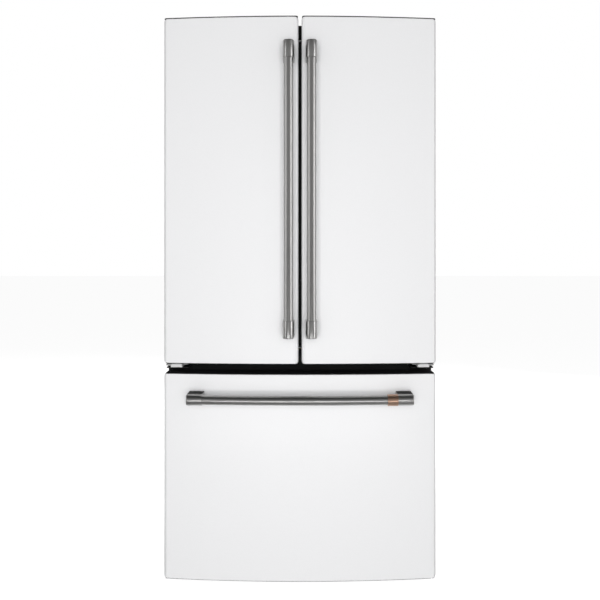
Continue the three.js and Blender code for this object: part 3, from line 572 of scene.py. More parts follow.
def skin_plan(x0, x1, corner, side_inset, front_inset, back=SKIN_BACK_Y):
    """Plan outline of a front skin, with rounded front corners."""
    a, b = x0 + side_inset, x1 - side_inset
    radius = max(corner - max(side_inset, front_inset), 0.0006)
    left = (a + radius, front_y(a + radius) + front_inset + radius)
    right = (b - radius, front_y(b - radius) + front_inset + radius)
    points = [(a, back)] + skin_corner(left, radius, math.pi)
    for i in range(1, BOW_STEPS):
        x = left[0] + (right[0] - left[0]) * i / BOW_STEPS
        points.append((x, front_y(x) + front_inset))
    return points + skin_corner(right, radius, 1.5 * math.pi) + [(b, back)]


def edge_inset(radius, height):
    """How far a rounded edge stands back at a height above its end."""
    if height >= radius:
        return 0.0
    return radius - math.sqrt(max(radius ** 2 - (radius - height) ** 2, 0.0))


def skin(name, x, z, body, replaces):
    """A painted front: bowed face, rounded vertical corners, softly rounded ends."""
    corner, side_radius, front_radius = 0.012, 0.007, 0.0016
    heights = [0, 0.0002, 0.0005, 0.001, 0.0016, 0.003, 0.0045, 0.007]
    steps = [(h, z[0] + h) for h in heights] + [(h, z[1] - h) for h in reversed(heights)]
    rings = [(skin_plan(*x, corner, edge_inset(side_radius, h), edge_inset(front_radius, h)), level)
             for h, level in steps]
    Shell().loft("z", rings).piece(name, "door_paint", body, replaces)


def end_cap(name, x, z, body, side_recess=0.004, front_recess=0.002):
    """The moulded black cap that closes the end of a skin."""
    corner, edge, behind = 0.009, 0.0006, SKIN_BACK_Y - 0.0005

    def section(inset):
        return skin_plan(*x, corner, side_recess + inset, front_recess + inset, behind)

    Shell().loft("z", both_ends(z, edge, edge, section, 2)).piece(name, "black_plastic", body)


CAP = 0.0016
TOP_CAP = 0.0028


def door_skin(side):
    x, _, z = span(f"{side}_door_panel")
    body = f"{side}_door"
    skin(f"{side}_door_skin", x, (z[0] + CAP, z[1] - TOP_CAP), body, [f"{side}_door_panel"])
    end_cap(f"{side}_door_cap_lower", x, (z[0], z[0] + CAP), body)
    end_cap(f"{side}_door_cap_upper", x, (z[1] - TOP_CAP, z[1]), body, 0.0014, 0.0004)


def drawer_skin():
    x, _, z = span("drawer_panel")
    skin("drawer_skin", x, (z[0] + CAP, z[1] - CAP), "freezer_drawer", ["drawer_panel"])
    end_cap("drawer_cap_lower", x, (z[0], z[0] + CAP), "freezer_drawer")
    end_cap("drawer_cap_upper", x, (z[1] - CAP, z[1]), "freezer_drawer")


# ------------------------------------------------------------------ handles

def stadium(centre, half, back, inset, steps=16):
    """Bracket section: flat sides from the door to a round nose. Points are (across, depth)."""
    radius = half - inset
    first, last = centre[0] + radius, centre[0] - radius
    shoulder = (back + centre[1]) / 2
    nose = [polar(centre, radius, -math.pi * i / steps) for i in range(steps + 1)]
    return [(first, back), (first, shoulder)] + nose + [(last, shoulder), (last, back)]


OUTER_EDGE = 0.0022
INNER_EDGE = 0.0006


def handle_post(name, node, axis, ends, section, outer_first, finish, body, nose):
    """A handle bracket with a rounder outer end; behind its brushed nose its sides are steel painted dark as
    shade.
    """
    low, high = (OUTER_EDGE, INNER_EDGE) if outer_first else (INNER_EDGE, OUTER_EDGE)
    post = Shell().loft(axis, both_ends(ends, low, high, section)).piece(name, finish, body, [node])
    # the flat sides behind the nose get steel painted dark as shade
    post.data.materials.append(materials["steel_painted_shade"])
    for face in post.data.polygons:
        if face.center.y > nose + 0.001:
            face.material_index = 1


def door_handle(side):
    body = f"{side}_door"
    bar = f"{side}_handle_bar"
    bx, by, bz = span(bar)
    middle = (bx[0] + bx[1]) / 2
    radius = (bx[1] - bx[0]) / 2
    edge = 0.0008
    Shell().turned("z", (middle, (by[0] + by[1]) / 2), [
        (radius - edge, bz[0]), (radius, bz[0] + edge), (radius, bz[1] - edge), (radius - edge, bz[1]),
    ], 64).piece(f"{side}_handle_tube", "steel_z", body, [bar])
    for end in ("top", "bottom"):
        node = f"{side}_handle_bracket_{end}"
        x, y, z = span(node)
        half = (x[1] - x[0]) / 2
        nose = y[0] + half

        def section(inset):
            return stadium((middle, nose), half, y[1], inset)

        name = f"{side}_handle_post_{end}"
        handle_post(name, node, "z", z, section, end == "bottom", "steel_z", body, nose)


def drawer_handle():
    body = "freezer_drawer"
    bar_z = span("drawer_handle_bar")[2]
    height = (bar_z[0] + bar_z[1]) / 2
    standoff = front_y(0) - (cad_bounds[0][1] + (bar_z[1] - bar_z[0]) / 2)

    def bowed_bar(node, name, finish, edge, steps):
        """A round bar that follows the drawer's bow, with its end edges taken off."""
        x, _, z = span(node)
        radius = (z[1] - z[0]) / 2
        stations = [x[0] + (x[1] - x[0]) * i / steps for i in range(steps + 1)]
        first, last = stations[0], stations[-1]
        marks = [(first, edge, 0), (first, 0, edge)] + [(at, 0, 0) for at in stations[1:-1]]
        marks += [(last, 0, -edge), (last, edge, 0)]
        rings = [(circle((front_y(at) - standoff, height), radius - inset, 48), at + shift)
                 for at, inset, shift in marks]
        Shell().loft("x", rings).piece(name, finish, body, [node])

    bowed_bar("drawer_handle_bar", "drawer_handle_tube", "steel_x", 0.0008, 24)
    bowed_bar("drawer_handle_ring", "drawer_handle_band", "copper_x", 0.0006, 2)
    for side, sign in SIDES.items():
        node = f"drawer_handle_bracket_{side}"
        x, y, z = span(node)
        half = (z[1] - z[0]) / 2
        nose = y[0] + half

        def section(inset):
            return [(v, u) for u, v in stadium((height, nose), half, y[1], inset)]

        name = f"drawer_handle_post_{side}"
        handle_post(name, node, "x", x, section, sign < 0, "steel_x", body, nose)


# ------------------------------------------------------------------ hinges

_, CASE_Y, CASE_Z = span("outer_case")
PIN_RADIUS = 0.005
PIN_INSET = 0.024


def mid_hinge(side):
    """The hinge in the band under a door: black bracket, pale moulded block with its link, steel pin."""
    sign = SIDES[side]
    node = f"mid_hinge_{side}"
    x, y, z = span(node)
    outer, inner = (x[1], x[0]) if sign > 0 else (-x[0], -x[1])
    plate_z = (z[0] + 0.010, z[0] + 0.014)
    block_top = z[0] + 0.0257
    bracket = Shell()
    bracket.block(x, (y[1] - 0.0037, y[1]), (z[0], block_top), 0.0012)
    bracket.block(x, (y[0] + 0.013, y[1] - 0.001), plate_z, 0.0014)
    bracket.piece(f"{node}_bracket", "frame_black", replaces=[node])

    block_x = side_span(sign, outer - 0.050, outer - 0.014)
    block_y = (y[0], y[0] + 0.050)
    foot = plate_z[1] + 0.0002
    rows = inset_rows(block_x, block_y, 0.0035, foot, rounding(0.001, 3))
    shoulder, slope = block_top - 0.0042, 0.0045
    rows += [(block_x, block_y, 0.0035, shoulder),
             (grow(block_x, -0.0008), grow(block_y, -0.0003), 0.0035, shoulder + 0.001),
             (grow(block_x, -slope), grow(block_y, -0.0016), 0.003, block_top - 0.0005),
             (grow(block_x, -slope - 0.0008), grow(block_y, -0.0024), 0.003, block_top)]
    rect_loft(Shell(), "z", rows).piece(f"{node}_block", "hinge_grey")
    arm_y = (y[0] + 0.004, y[0] + 0.018)
    arms = Shell()
    for near, far, low, high in ((outer - 0.0155, outer, 0.0068, 0.0012),
                                 (inner, outer - 0.049, 0.0038, 0.0009)):
        arms.block(side_span(sign, near, far), arm_y, (block_top - low, block_top - high), 0.0012)
    # the link carries hinge grey painted darker as shade
    arms.piece(f"{node}_link", "hinge_painted_shade")

    centre = (sign * (HALF_WIDTH - PIN_INSET), y[0] + 0.027)
    Shell().turned("z", centre, [
        (0.008, block_top - 0.001), (0.008, block_top + 0.0012), (PIN_RADIUS, block_top + 0.0012),
        (PIN_RADIUS, z[1] - 0.0015), (PIN_RADIUS - 0.0015, z[1]),
    ]).piece(f"{node}_pin", "zinc")


def top_hinge(side):
    """Pressed arm that lies on the cabinet top and steps down over the door, with pin and screws."""
    sign = SIDES[side]
    node = f"top_hinge_{side}"
    x, y, z = span(node)
    top, foot = z[1], CASE_Z[1] + 0.0003
    low = CASE_Z[1] - 0.0026
    head = low + (top - foot) - 0.0005
    arm = soften([
        (y[1], foot), (y[1] - 0.109, foot), (y[1] - 0.112, low), (y[0], low),
        (y[0], head), (y[1] - 0.1135, head), (y[1] - 0.1105, top), (y[1], top),
    ], 0.0018)
    bar_of(Shell(), "x", arm, x).piece(node + "_arm", "zinc", replaces=[node])
    centre = (sign * (HALF_WIDTH - PIN_INSET), y[0] + 0.020)
    Shell().turned("z", centre, [
        (PIN_RADIUS - 0.0015, z[0]), (PIN_RADIUS, z[0] + 0.0015), (PIN_RADIUS, head), (0.009, head),
        (0.009, head + 0.0022), (0.0075, head + 0.003),
    ]).piece(node + "_pin", "zinc")
    places = [(sum(x) / 2 + across, y[1] - along) for across in (-0.018, 0.018) for along in (0.02, 0.07)]
    screws(node + "_screws", places, top)


def hinge_cover(side):
    """Moulded cap over the top hinge: drafted walls, rounded top edge, a raised spine and a screw well."""
    node = f"hinge_cover_{side}"
    x, y, z = span(node)
    edge = 0.006
    rows = [(x, y, 0.009, z[0]), (x, y, 0.009, z[0] + 0.002)]
    rows += [(grow(x, -0.0008 - i), grow(y, -0.0008 - i), 0.0095, z[1] - 0.0006 - h)
             for i, h in reversed(rounding(edge, 6))]
    well = sum(x) / 2, sum(y) / 2
    for reach, corner, drop in ((0.030, 0.02, 0.0006), (0.008, 0.008, 0.0006),
                                (0.0072, 0.0072, 0.0012), (0.0068, 0.0068, 0.005)):
        rows.append((about(well[0], reach), about(well[1], reach), corner, z[1] - drop))
    rect_loft(Shell(), "z", rows, steps=6).piece(node + "_shell", "black_plastic", replaces=[node])
    ribs = Shell()
    for shift in (-0.018, -0.009, 0, 0.009, 0.018):
        centre = y[1] - 0.024 + shift * 0.5
        ribs.block(grow(x, -0.022), about(centre, 0.0012), (z[1] - 0.0012, z[1]), 0.0006, 2)
    ribs.piece(node + "_ribs", "black_plastic")
    screws(node + "_screw", [well], z[1] - 0.005)


# ------------------------------------------------------------------ seals and liners

def gasket(node, body):
    """Magnetic door seal: a bellows section carried round a rectangle."""
    x, y, z = span(node)
    depth = y[1] - y[0]
    # (inset, share of the depth): up the outer side, then down the inner side
    section = ((0.0005, 0.0), (0.0, 0.12), (0.0022, 0.24), (0.0004, 0.40), (0.0, 0.62), (0.0004, 0.92),
               (0.0012, 1.0), (0.0128, 1.0), (0.0136, 0.92), (0.014, 0.66), (0.0122, 0.52), (0.0138, 0.36),
               (0.0118, 0.2), (0.0135, 0.0))
    rows = [(grow(x, -i), grow(z, -i), 0.022 - i, y[0] + depth * share) for i, share in section]
    rect_loft(Shell(), "y", rows, wrap=True, steps=6).piece(node + "_bellows", "seal_grey", body, [node])


def thermoformed(node, body, dike_x, dike_z, bins=()):
    """Formed inner liner of a door: flat border, a raised dike with round edges, and a panelled floor."""
    x, y, z = span(node)
    top = y[1]
    plate = span(node.replace("liner", "gasket"))[1][0] - 0.0003

    def row(inset, depth, radius):
        return grow(dike_x, -inset), grow(dike_z, -inset), radius, depth

    rows = [(x, z, 0.009, y[0]), (x, z, 0.009, plate - 0.0015),
            (grow(x, -0.0015), grow(z, -0.0015), 0.008, plate)]
    # the dike's outer side, its rounded top, its inner side, then a raised panel
    rows += [row(-0.005, plate, 0.027), row(-0.0018, plate + 0.0012, 0.024), row(0, plate + 0.005, 0.022),
             row(0.001, top - 0.005, 0.021), row(0.0022, top - 0.0014, 0.020), row(0.0042, top, 0.018),
             row(0.0062, top, 0.016), row(0.0082, top - 0.0014, 0.014), row(0.0092, top - 0.005, 0.013),
             row(0.0104, plate + 0.005, 0.012), row(0.0130, plate + 0.0012, 0.011),
             row(0.017, plate + 0.0002, 0.01), row(0.032, plate + 0.0002, 0.02),
             row(0.034, plate + 0.0016, 0.02), row(0.037, plate + 0.0022, 0.02)]
    liner = rect_loft(Shell(), "y", rows, steps=7)
    liner.piece(node + "_form", "liner_white", body, [node])
    if not bins:
        return
    lugs = Shell()
    for node_of_bin in bins:
        bottom = span(node_of_bin)[2][0]
        for edge, sign in ((dike_x[0] + 0.010, 1), (dike_x[1] - 0.010, -1)):
            lug_x = sorted((edge - sign * 0.001, edge + sign * 0.008))
            lugs.block(lug_x, (plate, top - 0.003), (bottom - 0.012, bottom - 0.0006), 0.003)
    lugs.piece(node + "_lugs", "liner_white", body)


def door_insides(side):
    """A door's liner and seal, and its three bins, each with a trim band under the rim."""
    sign = SIDES[side]
    body = f"{side}_door"
    bins = [f"{side}_bin_{level}" for level in ("upper", "middle", "lower")]
    dike_x, dike_z = side_span(sign, 0.036, 0.368), (0.742, 1.700)
    thermoformed(f"{side}_door_liner", body, dike_x, dike_z, bins)
    gasket(f"{side}_door_gasket", body)
    for node in bins:
        x, y, z = span(node)
        form = tray(Shell(), x, y, z, draft=0.004, lip=0.003, corner=0.016)
        form.piece(node + "_tray", "clear_plastic", body, [node])
        top, drop, proud = z[1] - 0.0095, 0.016, 0.0004
        rim = ((0.003, 0), (0.003 - proud, -drop * 0.1), (0.0036 - proud, -drop),
               (0.0048, -drop), (0.0046, 0))
        rows = [(grow(x, -i), grow(y, -i), 0.0155 - i / 2, top + h) for i, h in rim]
        band = rect_loft(Shell(), "z", rows, wrap=True)
        band.piece(node + "_band", "white_trim", body, slot="clear_plastic")


LINER_WALL = 0.0024


def open_liner(node, x, y, z, corner, back_edge):
    """A formed compartment, open at the front, with round corners and a soft back edge."""
    outer_x, outer_z = grow(x, LINER_WALL), grow(z, LINER_WALL)
    rows = [(outer_x, outer_z, corner + LINER_WALL, y[1] + LINER_WALL),
            (outer_x, outer_z, corner + LINER_WALL, y[0]), (x, z, corner, y[0])]
    rows += [(grow(x, -i), grow(z, -i), corner + back_edge / 2, y[1] - h)
             for i, h in reversed(rounding(back_edge, 6))]
    rect_loft(Shell(), "y", rows, steps=6).piece(node + "_form", "liner_white", replaces=[node])


# ------------------------------------------------------------------ fridge compartment

CAVITY_X = (-0.372, 0.372)
CAVITY_Y = (CASE_Y[0], 0.340)
FRIDGE_Z = (0.734, 1.710)
SHELF_BACK_Y = 0.300
TRIM_HEIGHT = 0.015


def fridge_interior():
    """The liner, ledges for the shelves and runners under the crispers."""
    open_liner("fridge_liner", CAVITY_X, CAVITY_Y, FRIDGE_Z, 0.016, 0.018)
    ledges = Shell()
    rests = {"shelf_full": (-1, 1), "crisper_cover": (-1, 1), "shelf_left": (-1,), "shelf_right": (1,)}
    for node, signs in rests.items():
        bottom = span(node)[2][1] - TRIM_HEIGHT
        for sign in signs:
            x = side_span(sign, 0.366, 0.3725)
            ledges.block(x, (-0.08, SHELF_BACK_Y), (bottom - 0.0085, bottom - 0.0005), 0.0028, 4)
    for sign in (-1, 1):
        for near in (0.070, 0.290):
            x = side_span(sign, near, near + 0.008)
            ledges.block(x, (-0.19, 0.29), (FRIDGE_Z[0] - 0.001, 0.7416), 0.0028, 4)
    ledges.piece("shelf_ledges", "liner_white")


def air_duct():
    """The duct up the back wall, with three slatted outlets."""
    x, z, front = (-0.070, 0.070), (0.760, 1.690), 0.318
    rows = inset_rows(x, z, 0.012, front, rounding(0.006, 5))
    rect_loft(Shell(), "y", rows + [(x, z, 0.012, CAVITY_Y[1] + 0.001)]).piece("air_duct", "liner_white")
    frames, slats = Shell(), Shell()
    vent_x, slat_x = (-0.052, 0.052), (-0.0475, 0.0475)
    for height in (0.990, 1.220, 1.560):
        vent_z = about(height, 0.026)
        inner_x, inner_z = grow(vent_x, -0.005), grow(vent_z, -0.005)
        rect_loft(frames, "y", [
            (vent_x, vent_z, 0.006, front + 0.001), (vent_x, vent_z, 0.006, front - 0.0018),
            (inner_x, inner_z, 0.003, front - 0.0018), (inner_x, inner_z, 0.003, front + 0.0008),
        ])
        for i in range(5):
            level = height - 0.016 + i * 0.008
            slat = soften([(front - 0.0016, level + 0.0022), (front + 0.0006, level - 0.0018),
                           (front + 0.0006, level - 0.0006), (front - 0.0012, level + 0.0030)], 0.0003, 2)
            bar_of(slats, "x", slat, slat_x)
    frames.piece("air_vent_frames", "black_plastic")
    slats.piece("air_vent_slats", "white_trim")


def diffuser(name, x, y, ceiling, drop, edge, seat):
    """A lamp's moulded lens, hung below a ceiling."""
    rows = inset_rows(x, y, 0.008, ceiling - drop, rounding(edge, 4))
    rect_loft(Shell(), "z", rows + [(x, y, 0.008, ceiling - seat)]).piece(name, "lamp_lens")


def ceiling_fittings():
    """The lamp in its bezel, and the control panel with its keys."""
    ceiling = FRIDGE_Z[1]
    lamp_x, lamp_y = (-0.150, 0.150), (-0.02, 0.03)
    bezel = [(0.006, 0.010, -0.001), (0.006, 0.010, 0.0022), (0.0045, 0.009, 0.0034),
             (0.0003, 0.008, 0.0034), (0.0003, 0.008, 0.001)]
    rows = [(grow(lamp_x, out), grow(lamp_y, out), corner, ceiling - drop) for out, corner, drop in bezel]
    rect_loft(Shell(), "z", rows).piece("ceiling_lamp_bezel", "white_trim")
    diffuser("ceiling_lamp_lens", lamp_x, lamp_y, ceiling, drop=0.0052, edge=0.0022, seat=0.0008)
    housing_z = (ceiling - 0.016, ceiling + 0.001)
    panel = Shell().block(about(0, 0.125), (-0.186, -0.118), housing_z, 0.005, 5)
    panel.piece("control_housing", "white_trim")
    window_z = (ceiling - 0.0135, ceiling - 0.0035)
    window = Shell().block(about(0, 0.112), (-0.1876, -0.184), window_z, 0.0012)
    window.piece("control_window", "black_enamel", slot="black_plastic")
    keys, key_z = Shell(), (ceiling - 0.0112, ceiling - 0.0058)
    for i in range(6):
        keys.block(about(-0.085 + i * 0.034, 0.009), (-0.1886, -0.1870), key_z, 0.0007)
    keys.piece("control_keys", "seal_grey", slot="black_plastic")


def framed_glass(node):
    """A glass shelf in a moulded surround, thicker along its front edge."""
    back = SHELF_BACK_Y
    x, y, z = span(node)
    base = z[1] - TRIM_HEIGHT
    front = y[0]
    pane_y, pane_z = (front + 0.006, back - 0.004), (base + 0.003, base + 0.0072)
    pane = Shell().block(grow(x, -0.004), pane_y, pane_z, 0.0012)
    pane.piece(node + "_pane", "shelf_glass", replaces=[node])
    surround = Shell()
    nose = soften([(front, base + 0.0015), (front + 0.012, base), (front + 0.012, base + 0.009),
                   (front + 0.007, base + 0.0145), (front, base + 0.0148)], 0.0028)
    bar_of(surround, "x", nose, x)
    for edge in ((x[0], x[0] + 0.008), (x[1] - 0.008, x[1])):
        surround.block(edge, (front + 0.010, back), (base + 0.0002, base + 0.0098), 0.002)
    surround.block(x, (back - 0.009, back), (base + 0.0002, base + 0.0145), 0.0022)
    surround.piece(node + "_surround", "white_trim", slot="shelf_glass")
    return base


def shelves():
    """One full shelf, and two half shelves on brackets that hook into the back wall."""
    framed_glass("shelf_full")
    for side, sign in SIDES.items():
        node = f"shelf_{side}"
        base = framed_glass(node)
        hook_back = span(node)[1][1]
        hooks = Shell()
        plate = soften([
            (-0.04, base - 0.0002), (0.27, base - 0.006), (hook_back - 0.008, base - 0.012),
            (hook_back, base - 0.012), (hook_back, base + 0.004), (hook_back - 0.006, base + 0.004),
            (hook_back - 0.010, base - 0.0002),
        ], 0.002)
        for near in (0.022, 0.055):
            bar_of(hooks, "x", plate, side_span(sign, near, near + 0.003))
        hooks.piece(node + "_brackets", "white_trim", slot="shelf_glass")


def crisper_area():
    """Glass cover with two humidity sliders, a divider, and the crisper drawers below it."""
    base = framed_glass("crisper_cover")
    x, y, z = span("crisper_cover")
    divider = Shell().block(about(0, 0.0025), (y[0] + 0.010, SHELF_BACK_Y), (z[0], base + 0.001), 0.001, 2)
    divider.piece("crisper_divider", "white_trim", slot="shelf_glass")
    slides, slide_y, slide_z = Shell(), (y[0] - 0.0004, y[0] + 0.002), (base + 0.0042, base + 0.0108)
    knobs, knob_y, knob_z = Shell(), (y[0] - 0.0032, y[0] + 0.001), (base + 0.0034, base + 0.0116)
    for sign in (-1, 1):
        middle = sign * 0.186
        slides.block(about(middle, 0.045), slide_y, slide_z, 0.001)
        knobs.block(about(middle + sign * 0.014, 0.008), knob_y, knob_z, 0.0014)
    slides.piece("humidity_tracks", "seal_grey")
    knobs.piece("humidity_knobs", "white_trim")
    for side in SIDES:
        node = f"crisper_{side}"
        body = f"crisper_drawer_{side}"
        x, y, z = span(node)
        form = tray(Shell(), x, y, z, draft=0.006, lip=0.004, corner=0.02)
        form.piece(node + "_tray", "clear_plastic", body, [node])
        front, top = y[0], z[1]
        lip = soften([
            (front + 0.0002, top - 0.030), (front + 0.0002, top - 0.0004), (front + 0.011, top - 0.0004),
            (front + 0.011, top - 0.004), (front + 0.0042, top - 0.006), (front + 0.0036, top - 0.030),
        ], 0.0015)
        grip = bar_of(Shell(), "x", lip, about(sum(x) / 2, 0.150))
        grip.piece(node + "_grip", "white_trim", body, slot="clear_plastic")


# ------------------------------------------------------------------ freezer compartment

FREEZER_Z = (0.090, 0.634)
STEP_Y = 0.120
STEP_Z = 0.330


def freezer_interior():
    """Formed liner with a step over the machine space: one bent wall and two side walls."""
    y0, y1 = CAVITY_Y
    floor, roof = FREEZER_Z
    step_back, step_under, back = STEP_Y + LINER_WALL, STEP_Z - LINER_WALL, y1 + LINER_WALL
    path = [(y0, floor), (STEP_Y, floor), (STEP_Y, STEP_Z), (y1, STEP_Z), (y1, roof), (y0, roof)]
    beyond = [(y0, roof + LINER_WALL), (back, roof + LINER_WALL), (back, step_under),
              (step_back, step_under), (step_back, floor - LINER_WALL), (y0, floor - LINER_WALL)]
    corner_steps = 5
    per_corner = corner_steps + 1
    bends = soften(path, 0.014, corner_steps)[per_corner:-per_corner]
    form = Shell()
    bar_of(form, "x", [path[0]] + bends + [path[-1]] + beyond, CAVITY_X)
    side_wall = [path[0], (step_back, floor), (step_back, step_under),
                 (back, step_under), (back, roof), path[-1]]
    for sign in (-1, 1):
        bar_of(form, "x", side_wall, side_span(sign, CAVITY_X[1], CAVITY_X[1] + LINER_WALL))
    form.piece("freezer_liner_form", "liner_white", replaces=["freezer_liner"])
    lens_x, lens_y = (-0.110, 0.110), (0.02, 0.06)
    diffuser("freezer_lamp_lens", lens_x, lens_y, roof, drop=0.0035, edge=0.002, seat=0.0002)


def drawer_inside():
    """The freezer drawer's liner and seal."""
    thermoformed("drawer_liner", "freezer_drawer", dike_x=(-0.362, 0.362), dike_z=(0.108, 0.616))
    gasket("drawer_gasket", "freezer_drawer")


def rail_section(x, z, sign, thick=0.001, lip=0.006):
    """Rolled channel section (x, z), open towards the centre line when sign follows the side."""
    web, mouth = (x[1], x[0]) if sign > 0 else (x[0], x[1])
    inner_web, inner_mouth = web - sign * thick, mouth + sign * thick
    return [(web, z[0]), (web, z[1]), (mouth, z[1]), (mouth, z[1] - lip), (inner_mouth, z[1] - lip),
            (inner_mouth, z[1] - thick), (inner_web, z[1] - thick), (inner_web, z[0] + thick),
            (inner_mouth, z[0] + thick), (inner_mouth, z[0] + lip), (mouth, z[0] + lip), (mouth, z[0])]


RAIL_DEPTH = 0.0047
PINION_TEETH = 14


def drawer_slides():
    """Telescopic slides of the freezer drawer, the shaft that joins them and its pinions."""
    for side, sign in SIDES.items():
        node = f"rail_outer_{side}"
        x, y, z = span(node)
        bar_of(Shell(), "y", rail_section(x, z, sign), y).piece(node + "_channel", "zinc", replaces=[node])
    x, y, z = span("rail_mid_pair")
    middle = Shell()
    for sign in (-1, 1):
        bar_of(middle, "y", rail_section(side_span(sign, x[1] - RAIL_DEPTH, x[1]), z, -sign), y)
    middle.piece("rail_mid_channels", "zinc", "freezer_rails", ["rail_mid_pair"])
    centre = (0.271, 0.352)
    shaft = Shell().turned("x", centre, [(0.005, -x[1] + RAIL_DEPTH), (0.005, x[1] - RAIL_DEPTH)], 24)
    reaches = (0.0086, 0.0086, 0.0066, 0.0066)
    points = len(reaches) * PINION_TEETH
    teeth = [polar(centre, reaches[i % len(reaches)], 2 * math.pi * i / points) for i in range(points)]
    for sign in (-1, 1):
        bar_of(shaft, "x", teeth, side_span(sign, 0.349, 0.3565))
    shaft.piece("rail_cross_shaft", "zinc", "freezer_rails")
    inner, inner_z = Shell(), span("rail_outer_right")[2]
    for sign in (-1, 1):
        section = rail_section(side_span(sign, 0.3565, 0.3565 + RAIL_DEPTH), inner_z, sign)
        bar_of(inner, "y", section, (-0.1997, 0.260))
    inner.piece("rail_inner_pair", "zinc", "freezer_drawer")


def freezer_baskets():
    """The fixed lower basket on its hangers, and the upper one that slides on its runners."""
    x, y, z = (-0.345, 0.345), (-0.190, 0.100), (0.110, 0.336)
    lower = tray(Shell(), x, y, z, draft=0.010, lip=0.006, corner=0.03, wall=0.003)
    for sign in (-1, 1):
        lower.block(side_span(sign, 0.3435, 0.358), grow(y, -0.01), (0.3342, 0.3366), 0.0008, 2)
    lower.piece("basket_lower_tray", "clear_plastic", "freezer_drawer", ["freezer_basket_lower"])
    _, y, z = span("freezer_basket_upper")
    x, tray_z = (-0.352, 0.352), (0.380, z[1])
    upper = tray(Shell(), x, y, tray_z, draft=0.008, lip=0.005, corner=0.028, wall=0.003)
    for sign in (-1, 1):
        upper.block(side_span(sign, 0.3385, 0.360), grow(y, -0.01), (z[0], z[0] + 0.0074), 0.0015)
    upper.piece("basket_upper_tray", "clear_plastic", "upper_basket", ["freezer_basket_upper"])
    lip = soften([(y[0], z[1] - 0.026), (y[0], z[1]), (y[0] + 0.014, z[1]), (y[0] + 0.014, z[1] - 0.004),
                  (y[0] + 0.005, z[1] - 0.0065), (y[0] + 0.0045, z[1] - 0.026)], 0.0018)
    grip = bar_of(Shell(), "x", lip, (-0.12, 0.12))
    grip.piece("basket_upper_grip", "white_trim", "upper_basket", slot="clear_plastic")


# ------------------------------------------------------------------ base and machine space

def leveling_leg(side):
    """Moulded foot with a ribbed skirt, a hexagon to turn it by and a threaded stem."""
    node = f"leveling_leg_{side}"
    x, y, z = span(node)
    centre = (sum(x) / 2, sum(y) / 2)
    radius = (x[1] - x[0]) / 2
    body = f"{side}_leg"
    foot = Shell().turned("z", centre, [
        (radius - 0.0012, z[0]), (radius, z[0] + 0.0012), (radius, z[0] + 0.0038),
        (radius - 0.0015, z[0] + 0.0052), (0.0095, z[0] + 0.006), (0.0085, z[0] + 0.0078),
    ], 48)
    foot.piece(node + "_foot", "black_plastic", body, [node])
    stem = Shell()
    stem.loft("z", [(hexagon(centre, 0.0085), z[0] + 0.0070), (hexagon(centre, 0.0085), z[0] + 0.0120)])
    thread = []
    level, pitch = z[0] + 0.0118, 0.00125
    while level < z[1] - 0.002:
        thread += [(0.0042, level), (0.005, level + pitch * 0.45), (0.005, level + pitch * 0.6)]
        level += pitch
    stem.turned("z", centre, thread + [(0.0042, level), (0.0036, z[1])], 24)
    stem.piece(node + "_stem", "zinc", body)


def rear_roller(side):
    """Moulded wheel with a rounded tread and spoked sides, on a steel axle."""
    node = f"rear_roller_{side}"
    x, y, z = span(node)
    centre = (sum(y) / 2, sum(z) / 2)
    radius = (z[1] - z[0]) / 2 * math.cos(math.pi / 32)
    wheel_x = (x[0] + 0.010, x[1] - 0.010)
    profile = [(0.0045, wheel_x[0] + 0.002), (0.009, wheel_x[0] + 0.002), (0.0095, wheel_x[0] + 0.005),
               (0.019, wheel_x[0] + 0.005), (0.020, wheel_x[0])]
    profile += [(radius - i, wheel_x[0] + h) for i, h in rounding(0.003, 4)]
    mirrored = [(r, wheel_x[1] + wheel_x[0] - w) for r, w in reversed(profile)]
    body = f"{side}_roller"
    wheel = Shell().turned("x", centre, profile + mirrored, 64)
    for i in range(6):
        turn = math.pi / 3 * i
        for face in (wheel_x[0] + 0.0042, wheel_x[1] - 0.0042):
            rod = [(0.0016, face - 0.0012), (0.0016, face + 0.0012)]
            wheel.turned("x", polar(centre, 0.0142, turn), rod, 12)
    wheel.piece(node + "_wheel", "black_plastic", body, [node])
    ends = [(0.003, x[0]), (0.004, x[0] + 0.001), (0.004, x[1] - 0.001), (0.003, x[1])]
    Shell().turned("x", centre, ends).piece(node + "_axle", "zinc", body)


TUBE_RADIUS = 0.0035
FIN_COUNT = 49
FIN_PITCH = 0.005


